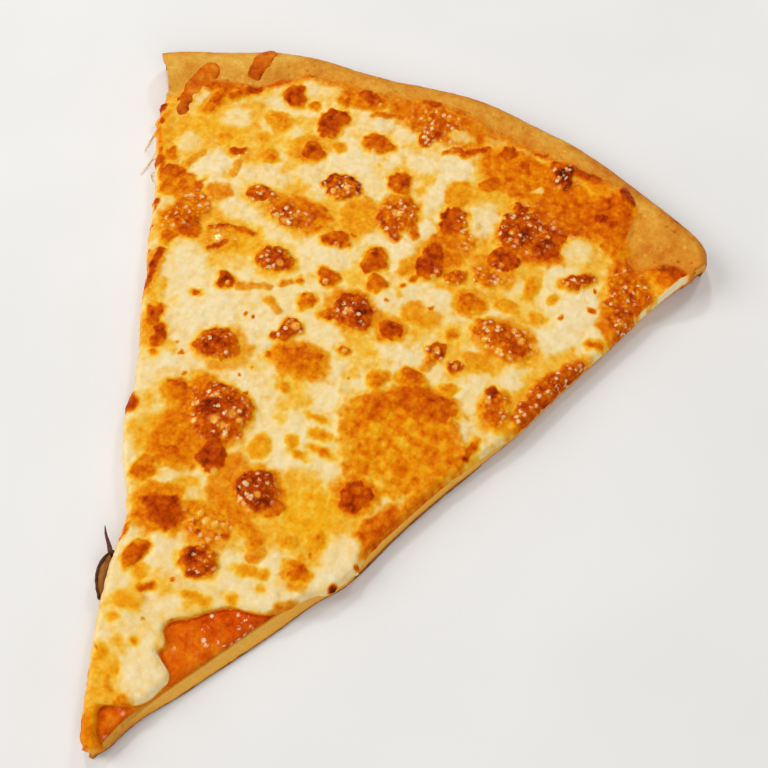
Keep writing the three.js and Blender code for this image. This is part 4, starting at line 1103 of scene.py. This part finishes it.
# Tone to colour, from pale cream to char, and the same under golden oil
CREAM_TO_CHAR = [
    (0.0, (249, 235, 202)), (0.1, (247, 224, 172)), (0.2, (244, 204, 128)), (0.3, (241, 180, 74)),
    (0.4, (236, 151, 30)), (0.5, (229, 122, 8)), (0.6, (215, 96, 3)), (0.72, (194, 70, 2)),
    (0.85, (154, 45, 3)), (1.0, (84, 28, 6)),
]
GOLD_TO_CHAR = [
    (0.0, (253, 236, 180)), (0.12, (250, 222, 130)), (0.24, (249, 202, 66)), (0.36, (245, 171, 14)),
    (0.5, (233, 130, 3)), (0.6, (215, 98, 3)), (0.72, (192, 70, 2)), (0.85, (152, 45, 3)),
    (1.0, (82, 28, 6)),
]
BREAD = [
    (0.0, (242, 202, 116)), (0.2, (234, 176, 68)), (0.4, (224, 148, 42)), (0.6, (208, 114, 22)),
    (0.8, (158, 74, 12)), (1.0, (92, 42, 10)),
]


def bread_colour(n, bake):
    """Baked bread: mottled, with pale flour freckles and browned ones."""
    pale_or_browned = n.remap(n.noise(4), 0.44, 0.56, -1.0, 1.0)
    freckles = n.times(n.remap(n.cells(2.6), 0.1, 0.28, 0.2, 0.0), pale_or_browned)
    mottled = n.plus(bake, n.mottle(0.42, 1.6, 4, 0.6))
    return n.ramp(n.plus(mottled, n.plus(n.mottle(0.22, 0.5), freckles)), *BREAD)


def cheese_material():
    n = Nodes("melted_cheese")
    tone, gold, shine, bubbly, grainy, bready, bake = n.fields("tone", *CHEESE_LOOKS)
    calm = n.remap(grainy, 0.0, 1.0, 1.0, 0.8)
    bubbly = n.times(bubbly, n.remap(tone, 0.36, 0.5))
    # mottling, stronger where the cheese is browned, and bubbles with darker creases and lighter
    # middles: painted shade and light that follow the bump's domes
    coarse = n.mottle(n.remap(tone, 0.1, 0.45, 0.15, 0.36), 2.2, 4, 0.6)
    fine = n.mottle(n.remap(tone, 0.1, 0.45, 0.06, 0.2), 0.8)
    cells = n.cells(1.5)
    creases = n.times(n.remap(cells, 0.15, 0.6, -0.08, 0.08), n.larger(bubbly, 0.2))
    level = n.plus(tone, n.times(calm, n.plus(coarse, n.plus(fine, creases))))
    colour = n.mix(gold, n.ramp(level, *CREAM_TO_CHAR), n.ramp(level, *GOLD_TO_CHAR))
    colour = n.mix(bready, colour, bread_colour(n, bake))
    # painted highlights: glint dots are mixed into the base colour as pale cream, and made glossy
    # below
    dots = n.glints(1.9, bubbly)
    colour = n.mix(n.times(dots, 0.7), colour, linear(255, 226, 156))
    glossy = n.larger(dots, shine)
    wrinkles = n.times(n.noise(0.9, 3, 0.6), n.remap(tone, 0.2, 0.7, 0.35, 0.9))
    domes = n.times(n.remap(cells, 0.0, 0.6, 1.0, 0.0), n.remap(bubbly, 0.0, 1.0, 0.2, 1.0))
    n.bump(n.plus(wrinkles, domes), 0.3)
    specular = n.plus(n.remap(tone, 0.15, 0.5, 0.14, 0.02), n.times(glossy, 0.9))
    return n.finish(colour, n.remap(glossy, 0.0, 1.0, 0.34, 0.16), specular)


def sauce_material():
    n = Nodes("tomato_sauce")
    deep, shine = n.fields("deep", "shine")
    colour = n.ramp(n.plus(deep, n.mottle(0.9, 1.1, 4, 0.6)), (0.0, (240, 142, 24)),
                    (0.35, (229, 106, 8)), (0.7, (212, 76, 3)), (1.0, (176, 46, 2)))
    # painted highlights: glint dots mixed into the sauce's colour as pale cream, and made glossy
    glints = n.glints(1.9, shine)
    colour = n.mix(n.times(glints, 0.85), colour, linear(255, 226, 180))
    n.bump(n.noise(0.8, 3, 0.6), 0.3)
    specular = n.remap(glints, 0.0, 1.0, 0.02, 0.9)
    return n.finish(colour, n.remap(n.noise(1.4), 0.3, 0.7, 0.15, 0.3), specular)


def bread_material():
    """The baked skin, the paler crumb with its holes in the cut faces, lightened further as painted
    light, and the underside.
    """
    n = Nodes("baked_bread")
    bake, crumb, under = n.fields("bake", "crumb", "under")
    # the crumb is mixed towards a light warm colour: partly the crumb's own paler colour, partly
    # painted light that lifts the cut faces out of their shade
    pale = n.times(crumb, n.remap(bake, 0.3, 0.7, 0.75, 0.2))
    colour = n.mix(pale, bread_colour(n, bake), linear(255, 190, 80))
    holes = n.times(n.remap(n.cells(1.3), 0.05, 0.3, 1.0, 0.0), n.times(crumb, 0.3))
    colour = n.mix(holes, colour, linear(214, 122, 38))
    soot = n.ramp(n.noise(5, 5, 0.65), (0.35, (214, 156, 84)), (0.55, (176, 108, 44)),
                  (0.7, (106, 56, 20)))
    colour = n.mix(under, colour, soot)
    n.bump(n.noise(0.9, 4, 0.6), 0.3)
    return n.finish(colour, n.remap(n.noise(3), 0.3, 0.7, 0.5, 0.7), 0.12)


def strip_material():
    n = Nodes("browned_strip")
    shade, = n.fields("shade")
    colour = n.ramp(n.plus(shade, n.mottle(1.2, 2.6, 5, 0.65)), (0.0, (236, 152, 36)),
                    (0.3, (221, 112, 10)), (0.65, (196, 78, 3)), (1.0, (140, 46, 3)))
    n.bump(n.noise(0.8, 4, 0.6), 0.25)
    return n.finish(colour, n.remap(n.noise(2), 0.3, 0.7, 0.35, 0.5), 0.05)


def char_material():
    n = Nodes("charred_flake")
    shade, = n.fields("shade")
    colour = n.ramp(n.plus(shade, n.mottle(0.5, 1.2, 4, 0.6)), (0.1, (244, 196, 112)),
                    (0.45, (212, 146, 66)), (0.75, (110, 56, 20)), (1.0, (60, 28, 10)))
    n.bump(n.noise(0.6, 4, 0.6), 0.25)
    return n.finish(colour, n.remap(n.noise(0.9), 0.3, 0.7, 0.35, 0.7), 0.3, oily=False)


def floor_material():
    n = Nodes("pale_floor")
    colour = n.ramp(n.noise(60), (0.3, (238, 236, 233)), (0.7, (243, 241, 238)))
    n.bump(n.noise(2.5), 0.02)
    return n.finish(colour, 0.55, 0.3, oily=False)


# ---- small pieces -------------------------------------------------------------------------------


def spline(points, count):
    """A smooth line through points, evenly spaced."""
    p = np.array(points, float)
    along = np.concatenate([[0], np.cumsum(np.hypot(*np.diff(p, axis=0).T))])
    t = np.linspace(0, along[-1], count)
    return np.stack([through(list(zip(along, p[:, k])))(t) for k in range(p.shape[1])], -1)


def guide(line, count):
    """A smooth line's points and the direction at each."""
    middle = spline(line, count)
    along = np.gradient(middle, axis=0)
    return middle, along / np.hypot(*along.T)[:, None]


def full_turn(sides):
    """The angles of a ring's points."""
    return np.linspace(0, 2 * math.pi, sides, endpoint=False)


def surface(x, y):
    """The slice's top at plan points: cheese where there is some, bread outside it."""
    r, a = radius_of(x, y), angle_of(x, y)
    inside = np.minimum(r, rim_radius(a) - 2)
    return bread_top(*plan_point(inside, a), inside, a) + cheese_film(inside, a)


def make_tongue(name, line, widths):
    """A browned tongue of cheese: a flat round-edged strip that melts in at its end."""
    steps, sides = 110, 48
    middle, along = guide(line, steps)
    f, turn = np.linspace(0, 1, steps), full_turn(sides)
    full = np.sqrt(np.clip(1 - np.abs(2 * f - 1) ** 7, 0.0, 1))
    full *= 1 + 0.1 * np.sin(7 * f + len(name)) + 0.05 * np.sin(19 * f)
    sunk = step(f, 0.78, 1.0)
    half = 0.5 * (widths[0] + (widths[1] - widths[0]) * step(f, 0.2, 0.6)) * full
    off = half[:, None] * np.cos(turn)
    left_or_right, along_it = np.sign(np.cos(turn)) * 30, f[:, None] * 22
    off = off + 0.45 * layered(left_or_right + 0 * off, along_it + 0 * off, 3, 104)
    x = middle[:, :1] - along[:, 1:] * off
    y = middle[:, 1:] + along[:, :1] * off
    lying = surface(x, y) - TONGUE_SINK * sunk[:, None] - TONGUE_REST
    across = (1 - np.abs(np.cos(turn)) ** 3)[None, :] * full[:, None]
    wrinkle = lumpy(x, y, 101, (0.2, 2.6), (0.05, 1.1))
    upper = lying + (TONGUE_REST + TONGUE_THICK + wrinkle) * across
    z = np.where(np.sin(turn) > 0, upper, lying - 0.5 * across)
    shade = (0.32 + 0.26 * layered(x, y, 3.2, 103) + 0.36 * np.abs(np.cos(turn))[None, :] ** 4
             + 0.25 * step(f, 0.45, 0.7)[:, None] * (1 - sunk[:, None])
             + 0.2 * fade(f, 0, 0.08)[:, None])
    points = xyz(x.ravel(), y.ravel(), z.ravel())
    return make_piece(name + "_melted", "browned_cheese", [name], [points],
                      tube(0, sides, steps), shade=[np.clip(shade, 0, 1).ravel()])


def make_flake():
    """The charred flake: a thin wavy plate on edge with a spike, dark at its borders."""
    steps, levels = 60, 24
    middle, along = guide(FLAKE_LINE, steps)
    f, up = np.linspace(0, 1, steps)[:, None], np.linspace(0, 1, levels)[None, :]
    tall = FLAKE_HEIGHT * (0.35 + 0.65 * np.sin(math.pi * (0.12 + 0.76 * f)))
    swing = 0.45 * np.sin(math.pi * up) + 0.2 * noise(f * 15 + up * 0, up * 6 + f * 0, 2, 111)
    edge = np.minimum(np.minimum(f, 1 - f) * 11, np.minimum(up, 1 - up) * FLAKE_HEIGHT)
    points, faces, shades = [], [], []
    for half in (-FLAKE_HALF_THICK, FLAKE_HALF_THICK):
        off = half + swing + FLAKE_LEAN * tall * up
        x = middle[:, :1] + along[:, 1:] * off
        y = middle[:, 1:] - along[:, :1] * off
        points.append(xyz(x.ravel(), y.ravel(), (tall * up + 0 * x).ravel()))
        inner = step(edge + 0.3 * layered(x, y + 3 * up, 1.5, 112), 0.2, 1.3)
        shades.append((0.9 - 0.6 * inner).ravel())
    count = steps * levels
    for k in range(steps - 1):
        for j in range(levels - 1):
            a = k * levels + j
            quad = (a, a + 1, a + levels + 1, a + levels)
            faces += [quad, tuple(count + v for v in reversed(quad))]
    # the plate's border, once round: along its foot, up one end, back along its top and down
    rim = (list(range(0, count, levels)) + list(range(count - levels + 1, count))
           + list(range(count - levels - 1, 0, -levels)) + list(range(levels - 2, 0, -1)))
    faces += [(a, b, b + count, a + count) for a, b in zip(rim, rim[1:] + rim[:1])]
    rings, sides = 30, 10
    turn = full_turn(sides)
    for k, (x, y) in enumerate(spline(SPIKE_LINE, rings)):
        s = k / (rings - 1)
        size = SPIKE_RADIUS * (1 - s) ** 0.7 + 0.06
        height = FLAKE_HEIGHT * 0.6 + SPIKE_RISE * s
        across, lift = size * np.cos(turn), size * np.sin(turn)
        points.append(xyz(x + across, y + 0.5 * lift, height + lift))
        shades.append(np.full(sides, 0.85))
    return make_piece("charred_flake_crisp", "char", ["charred_flake"], points,
                      faces + tube(2 * count, sides, rings), shade=shades)


def make_strings():
    """Thin strands of cheese that hang from the left cut down to where the slice lies."""
    sides, steps = 8, 50
    turn = full_turn(sides)
    points, faces = [], []
    for strand in STRINGS:
        rings = [[sides * (len(points) + k) + j for j in range(sides)] for k in range(steps)]
        for k, (x, y, z) in enumerate(spline(strand, steps)):
            size = STRING_RADIUS * (1.25 - 0.6 * k / steps)
            points.append(xyz(x + size * np.cos(turn), y + 0 * turn, z + 0.8 * size * np.sin(turn)))
        faces += walls(rings) + [tuple(rings[0][::-1]), tuple(rings[-1])]
    zero = np.zeros(sides * len(points))
    return make_piece("cheese_strings_melted", "cheese", [], points, faces, tone=[zero + 0.12],
                      **dict.fromkeys(CHEESE_LOOKS, [zero]))


# ---- stage --------------------------------------------------------------------------------------


def make_floor():
    across = np.linspace(-FLOOR_HALF, FLOOR_HALF, FLOOR_CELLS + 1)
    x, y = np.meshgrid(across, across)
    count = len(across)
    faces = [(k, k + 1, k + count + 1, k + count)
             for k in range(count * FLOOR_CELLS) if (k + 1) % count]
    floor = make_mesh("floor", xyz(x.ravel() * MM, y.ravel() * MM, np.zeros(x.size)), faces)
    return floor


def look(thing, target):
    thing.rotation_euler = (Vector(target) - thing.location).to_track_quat("-Z", "Y").to_euler()


def in_part(place):
    return Vector(to_part(*map(float, place)).tolist())


def make_lights():
    for name, place, size, watts in LIGHTS:
        data = bpy.data.lights.new(name, "AREA")
        data.shape, data.size, data.energy = "DISK", size, watts
        light = bpy.data.objects.new(name, data)
        bpy.context.scene.collection.objects.link(light)
        light.location = place
        look(light, (0, 0, 0))
    world = bpy.data.worlds.new("studio")
    world.use_nodes = True
    world.node_tree.nodes["Background"].inputs["Color"].default_value = (1, 1, 1, 1)
    world.node_tree.nodes["Background"].inputs["Strength"].default_value = SKY_STRENGTH
    bpy.context.scene.world = world


def make_camera():
    data = bpy.data.cameras.new("camera")
    data.lens, data.sensor_width = LENS_MM, SENSOR_MM
    camera = bpy.data.objects.new("camera", data)
    bpy.context.scene.collection.objects.link(camera)
    camera.location = in_part(CAMERA_AT)
    look(camera, in_part(LOOK_AT))
    bpy.context.scene.camera = camera


def dress(piece, material):
    piece.data.materials.clear()
    piece.data.materials.append(material)


bpy.context.scene.view_settings.view_transform = "Standard"
cheese_look, strip_look, char_look = cheese_material(), strip_material(), char_material()
dress(make_cheese(), cheese_look)
dress(make_crust(), bread_material())
dress(make_sauce(), sauce_material())
for shape in TONGUES:
    dress(make_tongue(**shape), strip_look)
dress(make_flake(), char_look)
dress(make_strings(), cheese_look)
dress(make_floor(), floor_material())
make_lights()
make_camera()
